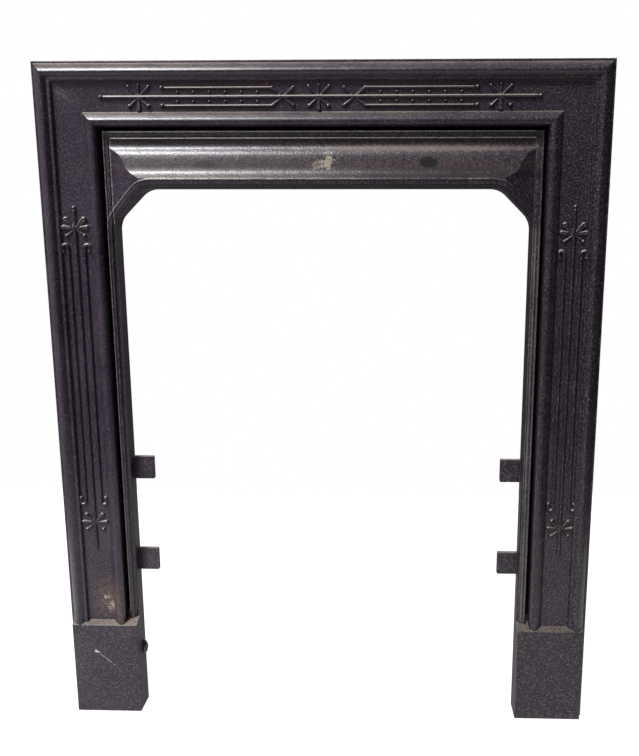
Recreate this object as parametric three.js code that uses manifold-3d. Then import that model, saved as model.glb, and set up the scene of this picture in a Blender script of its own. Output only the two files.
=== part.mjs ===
// Cast-iron fireplace surround: lintel, two jambs on plain plinth blocks, a splayed hood over
// the hearth and low panel ornament, all one casting with an open back.
// Millimetres, +X right, +Y into the wall, +Z up; the origin is under the middle of the feet.
//
// Sections are drawn in (c, t): c runs inward from the outer edge of the frame, and t runs
// forward from the back plane. On the lintel c is the depth below the top edge.

import * as THREE from "three";
import { mergeVertices } from "three/addons/utils/BufferGeometryUtils.js";
import Module from "manifold-3d";

const wasm = await Module();
wasm.setup();

// Overall size
const WIDTH = 762;
const HEIGHT = 934;

// Rim, outer moulding and sunk panel
const RIM_WIDTH = 4;
const RIM_DEPTH = 27;
const TORUS_STEP = 1;
const TORUS_RADIUS = 11.5;
const TORUS_FOOT_ANGLE = Math.PI / 3;
const CREST_DEPTH = 38;
const FILLET_WIDTH = 4;
const FILLET_DEPTH = 36;
const FILLET_SLOPE = 2;
const PANEL_DEPTH = 28;
const PANEL_WIDTH = 37.5;

// Inner roll, groove and band
const ROLL_RADIUS = 9.65;
const ROLL_DEPTH = 37.2;
const ROLL_FOOT_ANGLE = Math.PI / 6;
const GROOVE_WIDTH = 4.5;
const GROOVE_DEPTH = 19;
const BAND_WIDTH = 8;
const BAND_DEPTH = 24.8;
const BAND_BEAD = 2.5;
const BAND_LIP = 1.4;
const QUIRK = 0.6;

// Hood over the opening, from its bead down to the nosing
const HOOD_BEAD_WIDTH = 3.5;
const HOOD_BEAD_RISE = 0.8;
const HOOD_TOP_DEPTH = 22.8;
const OGEE_FALL = 7.5;
const OGEE_FALL_REACH = 1.6;
const OGEE_COVE = 9.5;
const OGEE_COVE_REACH = 5.2;
const OGEE_COVE_BEND = 1;
const OGEE_BELLY = 24;
const OGEE_BELLY_REACH = 7;
const OGEE_BELLY_BEND = 3.2;
const OGEE_FLARE = 8.5;
const OGEE_FLARE_REACH = 4.6;
const OGEE_FLARE_BEND = 1.4;
const NOSING = 13.3;

// Splayed inner faces of the jambs: how far they come forward for each millimetre inward
const SPLAY = 0.42;
const JAMB_EDGE = 3.9;

// Corners of the opening and the stepped edge that runs round it
const CHAMFER = 42;
const CORNER_RADIUS = 30;
const EDGE_RINGS = [
  { width: 11.3, rise: 0.8 },
  { width: 5.5, rise: -1.6 },
  { width: 2.6, rise: -3.6 },
];

// Plinth blocks, and the blob of iron left on the inner side of the left one
const PLINTH_HEIGHT = 140;
const PLINTH_INSET = 4;
const LEDGE_ANGLE = THREE.MathUtils.degToRad(24);
const LUMP_DROP = 33;
const LUMP_LENGTH = 20;
const LUMP_REACH = 4.5;

// Fixing lugs
const LUG_REACH = 29;
const LUG_HEIGHT = 33.5;
const LUG_THICKNESS = 6;
const LUG_CENTRES = [232.5, 374.5];

// Open back
const WALL = 6;
const THICK_WALL = 7;
const RIB_WIDTH = 6;

// Panel ornament, common sizes
const STEM_RADIUS = 2.1;
const BALL_RADIUS = 3;
const PETAL_ROOT = 1.1;
const PETAL_RADIUS = 2.5;
const PETAL_TIP_RADIUS = 3;

// Panel ornament on the lintel, from the middle outward or in from the ends
const STEM_END_INSET = 93.5;
const OUTER_FLOWER_INSET = 144.3;
const SIDE_LINE_INSET = 175;
const SIDE_LINE_OFFSET = 11.2;
const SIDE_LINE_RADIUS = 1.8;
const CROSS_X = 47.1;
const CROSS_ARM_X = 13.8;
const DOT_COUNT = 6;
const DOT_START_X = 80.5;
const DOT_PITCH = 21.05;
const DOT_OFFSET = 5.8;
const DOT_RADIUS = 2;
const LINTEL_PETAL_X = 13.5;
const LINTEL_PETAL_Z = 12;
const LINTEL_PETAL_UP = 15.5;
const LINTEL_PETAL_DOWN = 18.5;

// Panel ornament on the jambs, down from the top and up from the plinths
const STEM_PITCH = 11.2;
const TOP_FLOWER_DROP = 219;
const STEM_TIP_RISE = 32;
const TOP_HOOK_DROP = 23;
const BOTTOM_FLOWER_RISE = 157;
const STEM_TAIL_DROP = 38;
const BOTTOM_HOOK_RISE = 33;
const HOOK_RADIUS = 4.8;
const HOOK_BALL_INSET = 2.4;
const JAMB_PETALS = [
  { x: 14, z: 17, tip: 3.3 },
  { x: 19.6, z: 4.5, tip: 3.2 },
  { x: 12.6, z: -9.8, tip: 2.5 },
];

// Mesh fineness, how far cuts run past the metal, and how far joined solids run together
const CURVE_STEPS = 4;
const CORNER_STEPS = 3;
const ROD_SIDES = 6;
const BALL_SIDES = 6;
const BALL_RINGS = 4;
const HOOK_STEPS = 4;
const WELD_TOLERANCE = 1e-4;
const BEYOND = 20;
const OVERLAP = 1;

// Sizes that follow, in the order of the section
const HALF = WIDTH / 2;
const TORUS_END = RIM_WIDTH + TORUS_RADIUS * (1 + Math.cos(TORUS_FOOT_ANGLE));
const FILLET_START = TORUS_END + QUIRK / 2;
const PANEL_START = FILLET_START + FILLET_WIDTH + FILLET_SLOPE;
const PANEL_CENTRE = PANEL_START + PANEL_WIDTH / 2;
const ROLL_START = PANEL_START + PANEL_WIDTH;
const GROOVE_START = ROLL_START + ROLL_RADIUS * (1 + Math.cos(ROLL_FOOT_ANGLE));
const BAND_START = GROOVE_START + GROOVE_WIDTH + QUIRK;
const BAND_END = BAND_START + BAND_WIDTH;
const JAMB_WIDTH = BAND_END + JAMB_EDGE;
const SPLAY_DEPTH = BAND_DEPTH - BAND_LIP;
const OGEE_START = BAND_END + HOOD_BEAD_WIDTH + QUIRK;
const NOSING_START = OGEE_START + OGEE_FALL + OGEE_COVE + OGEE_BELLY + OGEE_FLARE;
const OGEE_REACH = OGEE_FALL_REACH + OGEE_COVE_REACH + OGEE_BELLY_REACH + OGEE_FLARE_REACH;
const NOSING_DEPTH = HOOD_TOP_DEPTH + OGEE_REACH;
const LINTEL_HEIGHT = NOSING_START + NOSING;
const FULL_DEPTH = NOSING_DEPTH + Math.max(...EDGE_RINGS.map((ring) => ring.rise));
const BACK_Y = FULL_DEPTH / 2;
const PANEL_Z = HEIGHT - PANEL_CENTRE;
const PANEL_X = HALF - PANEL_CENTRE;
const RIB_START = GROOVE_START - RIB_WIDTH / 2;
const BOTTOM_FLOWER_Z = PLINTH_HEIGHT + BOTTOM_FLOWER_RISE;
const TOP_FLOWER_Z = HEIGHT - TOP_FLOWER_DROP;

const iron = new THREE.MeshStandardMaterial({ color: 0x2c2930, roughness: 0.55, metalness: 0.6 });

// Closed meshes to solids and back
function solid(geometry) {
  const bare = geometry.clone();
  bare.deleteAttribute("normal");
  bare.deleteAttribute("uv");
  const merged = mergeVertices(bare, WELD_TOLERANCE);
  const vertProperties = new Float32Array(merged.attributes.position.array);
  const triVerts = new Uint32Array(merged.index.array);
  return new wasm.Manifold(new wasm.Mesh({ numProp: 3, vertProperties, triVerts }));
}

function geometryOf(body) {
  const { vertProperties, triVerts } = body.getMesh();
  const geometry = new THREE.BufferGeometry();
  geometry.setAttribute("position", new THREE.BufferAttribute(vertProperties, 3));
  geometry.setIndex(new THREE.BufferAttribute(triVerts, 1));
  return geometry;
}

function joined(bodies) {
  return bodies.reduce((sum, body) => sum.add(body));
}

// A section carried up one jamb, across the lintel and down the other, mitred at the corners.
function mitredRun(section) {
  const stations = [
    (c, t) => [c - HALF, BACK_Y - t, 0],
    (c, t) => [c - HALF, BACK_Y - t, HEIGHT - c],
    (c, t) => [HALF - c, BACK_Y - t, HEIGHT - c],
    (c, t) => [HALF - c, BACK_Y - t, 0],
  ];
  const count = section.length;
  const positions = stations.flatMap((place) => section.flatMap((p) => place(p.x, p.y)));
  const index = [];
  for (let station = 0; station < stations.length - 1; station += 1) {
    for (let i = 0; i < count; i += 1) {
      const a = station * count + i;
      const b = station * count + ((i + 1) % count);
      index.push(a, b, b + count, a, b + count, a + count);
    }
  }
  const last = (stations.length - 1) * count;
  for (const [i, j, k] of THREE.ShapeUtils.triangulateShape(section, [])) {
    const turn = THREE.ShapeUtils.area([section[i], section[j], section[k]]);
    const [p, q] = turn < 0 ? [j, k] : [k, j];
    index.push(i, q, p);
    index.push(last + i, last + p, last + q);
  }
  const geometry = new THREE.BufferGeometry();
  geometry.setAttribute("position", new THREE.Float32BufferAttribute(positions, 3));
  geometry.setIndex(index);
  return solid(geometry);
}

// A shape drawn in (x, z), from the depth `from` to the depth `to` in front of the back plane.
function plate(shape, from, to) {
  const options = { depth: to - from, bevelEnabled: false, curveSegments: CORNER_STEPS };
  const geometry = new THREE.ExtrudeGeometry(shape, options);
  geometry.rotateX(Math.PI / 2);
  geometry.translate(0, BACK_Y - from, 0);
  return solid(geometry);
}

// A shape drawn in (depth below the top, t), carried along X past both ends of the frame.
function crossBar(shape) {
  const length = WIDTH + 2 * BEYOND;
  const options = { depth: length, bevelEnabled: false, curveSegments: CURVE_STEPS };
  const geometry = new THREE.ExtrudeGeometry(shape, options);
  const downward = new THREE.Vector3(0, 0, -1);
  const forward = new THREE.Vector3(0, -1, 0);
  const across = new THREE.Vector3().crossVectors(downward, forward);
  geometry.applyMatrix4(new THREE.Matrix4().makeBasis(downward, forward, across));
  geometry.translate((-across.x * length) / 2, BACK_Y, HEIGHT);
  return solid(geometry);
}

function rectangle(x0, z0, x1, z1) {
  const shape = new THREE.Shape();
  shape.moveTo(x0, z0);
  shape.lineTo(x1, z0);
  shape.lineTo(x1, z1);
  shape.lineTo(x0, z1);
  shape.closePath();
  return shape;
}

// The opening's outline moved `grow` into the metal, with rounded slanting corners.
function openingShape(grow) {
  const bisector = Math.tan(Math.PI / 8);
  const side = HALF - JAMB_WIDTH + grow;
  const head = HEIGHT - LINTEL_HEIGHT + grow;
  const radius = CORNER_RADIUS + grow;
  const cornerReach = CHAMFER - grow * bisector + radius * bisector;
  const headX = HALF - JAMB_WIDTH - cornerReach;
  const sideZ = HEIGHT - LINTEL_HEIGHT - cornerReach;
  const shape = new THREE.Shape();
  shape.moveTo(-side, -BEYOND);
  shape.lineTo(-side, sideZ);
  shape.absarc(radius - side, sideZ, radius, Math.PI, 0.75 * Math.PI, true);
  shape.absarc(-headX, head - radius, radius, 0.75 * Math.PI, 0.5 * Math.PI, true);
  shape.absarc(headX, head - radius, radius, 0.5 * Math.PI, 0.25 * Math.PI, true);
  shape.absarc(side - radius, sideZ, radius, 0.25 * Math.PI, 0, true);
  shape.lineTo(side, -BEYOND);
  shape.closePath();
  return shape;
}

function opening(grow) {
  return plate(openingShape(grow), -BEYOND, FULL_DEPTH + BEYOND);
}

// Outer rim, torus, fillet, sunk panel, roll, groove and band, all brought forward by `rise`.
function frameSection(rise) {
  const path = new THREE.Path();
  const faceAt = (c, depth) => path.lineTo(c, depth + rise);
  path.moveTo(0, 0);
  faceAt(0, RIM_DEPTH);
  faceAt(RIM_WIDTH, RIM_DEPTH);
  const torusBase = RIM_DEPTH + TORUS_STEP;
  const torusCentre = RIM_WIDTH + TORUS_RADIUS;
  const torusRise = CREST_DEPTH - torusBase;
  const torusStop = TORUS_FOOT_ANGLE;
  path.absellipse(torusCentre, torusBase + rise, TORUS_RADIUS, torusRise, Math.PI, torusStop, true);
  faceAt(FILLET_START, FILLET_DEPTH);
  faceAt(FILLET_START + FILLET_WIDTH, FILLET_DEPTH);
  faceAt(PANEL_START, PANEL_DEPTH);
  const rollCentre = ROLL_START + ROLL_RADIUS;
  const rollRise = ROLL_DEPTH - PANEL_DEPTH;
  const rollBase = PANEL_DEPTH + rise;
  path.absellipse(rollCentre, rollBase, ROLL_RADIUS, rollRise, Math.PI, ROLL_FOOT_ANGLE, true);
  faceAt(GROOVE_START + QUIRK, GROOVE_DEPTH);
  faceAt(BAND_START - QUIRK, GROOVE_DEPTH);
  faceAt(BAND_START, SPLAY_DEPTH);
  faceAt(BAND_START + BAND_BEAD / 2, BAND_DEPTH + QUIRK);
  faceAt(BAND_START + BAND_BEAD, BAND_DEPTH);
  faceAt(BAND_END - QUIRK, BAND_DEPTH);
  faceAt(BAND_END, SPLAY_DEPTH);
  path.lineTo(BAND_END, 0);
  return path.getPoints(CURVE_STEPS);
}

// Bead, fall, cove, belly and flare of the hood, then its nosing carried on down to the floor.
function hoodShape(rise) {
  const beadDepth = BAND_DEPTH + HOOD_BEAD_RISE + rise;
  const shape = new THREE.Shape();
  shape.moveTo(BAND_END - OVERLAP, 0);
  shape.lineTo(BAND_END - OVERLAP, SPLAY_DEPTH + rise);
  shape.lineTo(BAND_END, SPLAY_DEPTH + rise);
  shape.lineTo(BAND_END + QUIRK, beadDepth);
  shape.lineTo(BAND_END + HOOD_BEAD_WIDTH - QUIRK, beadDepth);
  let c = OGEE_START;
  let t = HOOD_TOP_DEPTH + rise;
  shape.lineTo(c, t);
  c += OGEE_FALL;
  t += OGEE_FALL_REACH;
  shape.lineTo(c, t);
  shape.quadraticCurveTo(c + OGEE_COVE / 2, t + OGEE_COVE_BEND, c + OGEE_COVE, t + OGEE_COVE_REACH);
  c += OGEE_COVE;
  t += OGEE_COVE_REACH;
  shape.quadraticCurveTo(c + OGEE_BELLY / 3, t + OGEE_BELLY_BEND, c + OGEE_BELLY, t + OGEE_BELLY_REACH);
  c += OGEE_BELLY;
  t += OGEE_BELLY_REACH;
  shape.quadraticCurveTo(c + OGEE_FLARE / 2, t + OGEE_FLARE_BEND, NOSING_START, NOSING_DEPTH + rise);
  shape.lineTo(HEIGHT + BEYOND, NOSING_DEPTH + rise);
  shape.lineTo(HEIGHT + BEYOND, 0);
  shape.closePath();
  return shape;
}

// The splayed faces of both jambs, coming forward towards the opening.
function splaySolid(rise) {
  const reach = FULL_DEPTH + BEYOND - SPLAY_DEPTH;
  const edge = HALF - BAND_END + OVERLAP;
  const knee = HALF - BAND_END - reach / SPLAY;
  const nearY = BACK_Y - SPLAY_DEPTH - rise;
  const shape = new THREE.Shape();
  shape.moveTo(-edge, BACK_Y);
  shape.lineTo(edge, BACK_Y);
  shape.lineTo(edge, nearY + OVERLAP * SPLAY);
  shape.lineTo(knee, nearY - reach);
  shape.lineTo(-knee, nearY - reach);
  shape.lineTo(-edge, nearY + OVERLAP * SPLAY);
  shape.closePath();
  const options = { depth: HEIGHT - BAND_END + OVERLAP, bevelEnabled: false };
  return solid(new THREE.ExtrudeGeometry(shape, options));
}

function relief(rise) {
  return mitredRun(frameSection(rise)).add(crossBar(hoodShape(rise)).intersect(splaySolid(rise)));
}

// The whole front, stepped in rings round the opening.
function steppedFront() {
  let front = relief(0).subtract(opening(EDGE_RINGS[0].width));
  EDGE_RINGS.forEach((ring, i) => {
    const next = EDGE_RINGS[i + 1];
    const inside = opening(next ? next.width : 0);
    front = front.add(relief(ring.rise).intersect(opening(ring.width)).subtract(inside));
  });
  return front;
}

// A plain block with a ledge that slopes back up to the mouldings.
function plinth(side) {
  const ledge = HEIGHT - PLINTH_HEIGHT;
  const shape = new THREE.Shape();
  shape.moveTo(HEIGHT, 0);
  shape.lineTo(HEIGHT, CREST_DEPTH);
  shape.lineTo(ledge, CREST_DEPTH);
  shape.lineTo(ledge - CREST_DEPTH * Math.tan(LEDGE_ANGLE), 0);
  shape.closePath();
  const inner = HALF - JAMB_WIDTH;
  const outer = HALF - PLINTH_INSET;
  const width = rectangle(side * inner, -BEYOND, side * outer, HEIGHT);
  return crossBar(shape).intersect(plate(width, -BEYOND, FULL_DEPTH + BEYOND));
}

function lug(side, z) {
  const root = HALF - JAMB_WIDTH + WALL / 2;
  const tip = HALF - JAMB_WIDTH - LUG_REACH;
  const half = LUG_HEIGHT / 2;
  return plate(rectangle(side * root, z - half, side * tip, z + half), 0, LUG_THICKNESS);
}

function lump() {
  const geometry = new THREE.SphereGeometry(1, BALL_SIDES, BALL_RINGS);
  geometry.scale(LUMP_REACH, LUMP_REACH, LUMP_LENGTH / 2);
  geometry.translate(JAMB_WIDTH - HALF, BACK_Y - CREST_DEPTH / 2, PLINTH_HEIGHT - LUMP_DROP);
  return solid(geometry);
}

// Hollows behind the panel mouldings, the jambs, the plinths and the hood
function frameHollow() {
  const floor = PANEL_DEPTH - THICK_WALL;
  const section = [
    new THREE.Vector2(WALL, -OVERLAP),
    new THREE.Vector2(WALL, floor),
    new THREE.Vector2(RIB_START - WALL / 2, floor),
    new THREE.Vector2(RIB_START, GROOVE_DEPTH - WALL),
    new THREE.Vector2(RIB_START, -OVERLAP),
  ];
  return mitredRun(section);
}

function jambHollow(side) {
  const outer = HALF - RIB_START + OVERLAP;
  const inner = HALF - JAMB_WIDTH + WALL;
  const shape = rectangle(side * inner, -OVERLAP, side * outer, HEIGHT - RIB_START - RIB_WIDTH);
  return plate(shape, -OVERLAP, GROOVE_DEPTH - WALL);
}

function plinthHollow(side) {
  const outer = HALF - PLINTH_INSET - THICK_WALL;
  const inner = HALF - JAMB_WIDTH + THICK_WALL;
  const shape = rectangle(side * inner, -OVERLAP, side * outer, PLINTH_HEIGHT - THICK_WALL);
  return plate(shape, -OVERLAP, CREST_DEPTH - THICK_WALL);
}

function hoodHollow() {
  const below = RIB_START + RIB_WIDTH;
  const foot = LINTEL_HEIGHT + CHAMFER;
  const shape = new THREE.Shape();
  shape.moveTo(below, -OVERLAP);
  shape.lineTo(below, GROOVE_DEPTH - WALL);
  shape.lineTo(OGEE_START + OGEE_FALL, HOOD_TOP_DEPTH - WALL);
  shape.lineTo(NOSING_START, NOSING_DEPTH - THICK_WALL);
  shape.lineTo(foot, NOSING_DEPTH - THICK_WALL);
  shape.lineTo(foot, -OVERLAP);
  shape.closePath();
  const back = plate(rectangle(below - HALF, 0, HALF - below, HEIGHT), -OVERLAP, 0);
  return crossBar(shape).intersect(splaySolid(-WALL).add(back)).subtract(opening(WALL));
}

// Half-sunk rods, balls and tapering petals that lie on the panel floor
function panelPoint(x, z) {
  return new THREE.Vector3(x, BACK_Y - PANEL_DEPTH, z);
}

function rod(from, to, fromRadius, toRadius) {
  const span = new THREE.Vector3().subVectors(to, from);
  const geometry = new THREE.CylinderGeometry(toRadius, fromRadius, span.length(), ROD_SIDES);
  const upright = new THREE.Vector3(0, 1, 0);
  const turn = new THREE.Quaternion().setFromUnitVectors(upright, span.clone().normalize());
  geometry.applyQuaternion(turn);
  geometry.translate((from.x + to.x) / 2, (from.y + to.y) / 2, (from.z + to.z) / 2);
  return solid(geometry);
}

function ball(centre, radius) {
  const geometry = new THREE.SphereGeometry(radius, BALL_SIDES, BALL_RINGS);
  geometry.translate(centre.x, centre.y, centre.z);
  return solid(geometry);
}

function petal(centre, x, z, tip) {
  const end = centre.clone().add(new THREE.Vector3(x, 0, z));
  return rod(centre, end, PETAL_ROOT, PETAL_RADIUS).add(ball(end, tip));
}

// A stem end that turns outward in a half circle and closes on a ball.
function hook(stemX, z, outward, upward) {
  const centreX = stemX + outward * HOOK_RADIUS;
  const bends = [];
  for (let i = 0; i <= HOOK_STEPS; i += 1) {
    const angle = (Math.PI * i) / HOOK_STEPS;
    const x = centreX - outward * HOOK_RADIUS * Math.cos(angle);
    bends.push(panelPoint(x, z + upward * HOOK_RADIUS * Math.sin(angle)));
  }
  const parts = [];
  for (let i = 0; i < HOOK_STEPS; i += 1) {
    parts.push(rod(bends[i], bends[i + 1], STEM_RADIUS, STEM_RADIUS));
  }
  const tipX = centreX + outward * (HOOK_RADIUS - HOOK_BALL_INSET);
  parts.push(ball(panelPoint(tipX, z - upward * BALL_RADIUS), BALL_RADIUS));
  return joined(parts);
}

function lintelFlower(x) {
  const centre = panelPoint(x, PANEL_Z);
  const parts = [
    petal(centre, 0, LINTEL_PETAL_UP, PETAL_RADIUS),
    petal(centre, 0, -LINTEL_PETAL_DOWN, PETAL_TIP_RADIUS),
  ];
  for (const across of [-LINTEL_PETAL_X, LINTEL_PETAL_X]) {
    parts.push(petal(centre, across, LINTEL_PETAL_Z, PETAL_TIP_RADIUS));
    parts.push(petal(centre, across, -LINTEL_PETAL_Z, PETAL_TIP_RADIUS));
  }
  return joined(parts);
}

function cross(x) {
  const centre = panelPoint(x, PANEL_Z);
  const parts = [];
  for (const across of [-CROSS_ARM_X, CROSS_ARM_X]) {
    parts.push(petal(centre, across, SIDE_LINE_OFFSET, PETAL_RADIUS));
    parts.push(petal(centre, across, -SIDE_LINE_OFFSET, PETAL_RADIUS));
  }
  return joined(parts);
}

function lintelOrnament() {
  const stemEnd = HALF - STEM_END_INSET;
  const sideLineEnd = HALF - SIDE_LINE_INSET;
  const parts = [
    rod(panelPoint(-stemEnd, PANEL_Z), panelPoint(stemEnd, PANEL_Z), STEM_RADIUS, STEM_RADIUS),
    lintelFlower(0),
  ];
  for (const side of [-1, 1]) {
    parts.push(ball(panelPoint(side * stemEnd, PANEL_Z), BALL_RADIUS));
    parts.push(lintelFlower(side * (HALF - OUTER_FLOWER_INSET)));
    parts.push(cross(side * CROSS_X));
    for (const up of [-1, 1]) {
      const z = PANEL_Z + up * SIDE_LINE_OFFSET;
      const near = panelPoint(side * (CROSS_X + CROSS_ARM_X), z);
      const far = panelPoint(side * sideLineEnd, z);
      parts.push(rod(near, far, SIDE_LINE_RADIUS, SIDE_LINE_RADIUS));
      parts.push(ball(far, BALL_RADIUS));
      for (let i = 0; i < DOT_COUNT; i += 1) {
        const x = side * (DOT_START_X + i * DOT_PITCH);
        parts.push(ball(panelPoint(x, PANEL_Z + up * DOT_OFFSET), DOT_RADIUS));
      }
    }
  }
  return joined(parts);
}

function jambFlower(x, z) {
  const centre = panelPoint(x, z);
  const parts = [];
  for (const side of [-1, 1]) {
    for (const ray of JAMB_PETALS) {
      parts.push(petal(centre, side * ray.x, ray.z, ray.tip));
    }
  }
  return joined(parts);
}

function jambOrnament(side) {
  const x = side * PANEL_X;
  const tip = panelPoint(x, TOP_FLOWER_Z + STEM_TIP_RISE);
  const tail = panelPoint(x, BOTTOM_FLOWER_Z - STEM_TAIL_DROP);
  const topHookZ = TOP_FLOWER_Z - TOP_HOOK_DROP;
  const bottomHookZ = BOTTOM_FLOWER_Z + BOTTOM_HOOK_RISE;
  const parts = [
    rod(tail, tip, STEM_RADIUS, STEM_RADIUS),
    ball(tip, BALL_RADIUS),
    jambFlower(x, TOP_FLOWER_Z),
    jambFlower(x, BOTTOM_FLOWER_Z),
  ];
  for (const outward of [-1, 1]) {
    const stemX = x + outward * STEM_PITCH;
    const top = panelPoint(stemX, topHookZ);
    const bottom = panelPoint(stemX, bottomHookZ);
    parts.push(rod(bottom, top, STEM_RADIUS, STEM_RADIUS));
    parts.push(hook(stemX, topHookZ, outward, 1));
    parts.push(hook(stemX, bottomHookZ, outward, -1));
  }
  return joined(parts);
}

function surroundCasting() {
  const added = [lintelOrnament(), lump()];
  const hollows = [frameHollow(), hoodHollow()];
  for (const side of [-1, 1]) {
    added.push(plinth(side), jambOrnament(side));
    hollows.push(jambHollow(side), plinthHollow(side));
    for (const z of LUG_CENTRES) {
      added.push(lug(side, z));
    }
  }
  const body = joined([steppedFront(), ...added]);
  return geometryOf(body.subtract(joined(hollows)));
}

const casting = new THREE.Mesh(surroundCasting(), iron);
casting.name = "surround_casting";

const surround = new THREE.Group();
surround.name = "fireplace_surround";
surround.add(casting);

export default surround;
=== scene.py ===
"""Visual model of a cast-iron fireplace surround: mouldings, panel ornament, paint, dust, wear, painted shade
and painted highlights.
"""

import logging
import math
from dataclasses import dataclass, field
from enum import Enum
from typing import ClassVar

import bpy
import numpy as np
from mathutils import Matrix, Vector, noise


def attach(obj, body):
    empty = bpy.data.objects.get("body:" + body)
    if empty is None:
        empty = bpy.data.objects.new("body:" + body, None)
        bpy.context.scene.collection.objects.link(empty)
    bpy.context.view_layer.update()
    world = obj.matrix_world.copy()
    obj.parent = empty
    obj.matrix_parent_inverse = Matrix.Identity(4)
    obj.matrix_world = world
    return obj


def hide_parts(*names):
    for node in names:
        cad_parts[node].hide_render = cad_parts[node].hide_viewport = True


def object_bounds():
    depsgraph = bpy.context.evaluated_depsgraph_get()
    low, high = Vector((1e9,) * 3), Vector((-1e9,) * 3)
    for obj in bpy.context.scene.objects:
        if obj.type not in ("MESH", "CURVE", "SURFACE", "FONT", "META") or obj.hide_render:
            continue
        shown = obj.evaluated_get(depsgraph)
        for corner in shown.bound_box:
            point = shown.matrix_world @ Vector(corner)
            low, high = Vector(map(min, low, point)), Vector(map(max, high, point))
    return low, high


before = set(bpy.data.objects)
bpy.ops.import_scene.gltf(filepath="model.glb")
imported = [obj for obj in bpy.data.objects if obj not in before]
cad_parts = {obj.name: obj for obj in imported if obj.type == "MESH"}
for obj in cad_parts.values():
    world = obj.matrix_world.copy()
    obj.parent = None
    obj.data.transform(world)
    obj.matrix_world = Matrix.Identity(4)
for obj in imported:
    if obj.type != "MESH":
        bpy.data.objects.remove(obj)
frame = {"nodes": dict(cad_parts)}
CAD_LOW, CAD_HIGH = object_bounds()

Point = tuple[float, float]
Place = tuple[float, float, float]
Colour = tuple[float, float, float]
Pattern = tuple[float, float, float]
Ramp = tuple[float, float, float, float]
Socket = bpy.types.NodeSocket

LOG = logging.getLogger("fireplace_surround")
MM = 0.001
NODE = "surround_casting"
SLOT = "blacked_cast_iron"
BODY = "root"

# The casting's own box, from the frame, in millimetres
WIDTH = (CAD_HIGH.x - CAD_LOW.x) / MM
HEIGHT = CAD_HIGH.z / MM
BACK_Y = CAD_HIGH.y / MM
FULL_DEPTH = (CAD_HIGH.y - CAD_LOW.y) / MM
HALF = WIDTH / 2

# How far a cut runs past the metal, and how far joined solids run together
BEYOND = 20.0
OVERLAP = 1.0

# Radii that soften a corner, from a hard edge to a round one
HAIR, CRISP, EASED, ROUND = 0.2, 0.3, 0.4, 1.2

WHITE = (1.0, 1.0, 1.0, 1.0)


class Joining(Enum):
    """How one solid is combined with another."""

    ADD = "UNION"
    CUT = "DIFFERENCE"
    KEEP = "INTERSECT"


class Pen:
    """Draws a closed outline whose corners are softened and whose curves are fine."""

    MOST_OF_SIDE = 0.4
    CORNER_STEPS = 2

    def __init__(self, a: float, b: float, soft: float = 0.0) -> None:
        """Starts the outline.

        Args:
            a: First coordinate, in millimetres.
            b: Second coordinate.
            soft: Radius that softens this corner.
        """
        self.corners: list[Place] = [(a, b, soft)]

    def line(self, a: float, b: float, soft: float = 0.0) -> "Pen":
        """Goes straight on to a corner.

        Args:
            a: First coordinate.
            b: Second coordinate.
            soft: Radius that softens the corner.

        Returns:
            The pen itself.
        """
        self.corners.append((a, b, soft))
        return self

    def outline(self) -> list[Vector]:
        """Softens the corners.

        Returns:
            The points of the closed outline.
        """
        points: list[Vector] = []
        count = len(self.corners)
        for i, (a, b, soft) in enumerate(self.corners):
            here = Vector((a, b))
            if soft <= 0:
                points.append(here)
                continue
            back = Vector(self.corners[i - 1][:2]) - here
            ahead = Vector(self.corners[(i + 1) % count][:2]) - here
            reach = min(soft, self.MOST_OF_SIDE * back.length, self.MOST_OF_SIDE * ahead.length)
            first = here + back.normalized() * reach
            last = here + ahead.normalized() * reach
            for step in range(self.CORNER_STEPS + 1):
                s = step / self.CORNER_STEPS
                points.append(first * (1 - s) ** 2 + here * 2 * s * (1 - s) + last * s * s)
        return points


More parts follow.
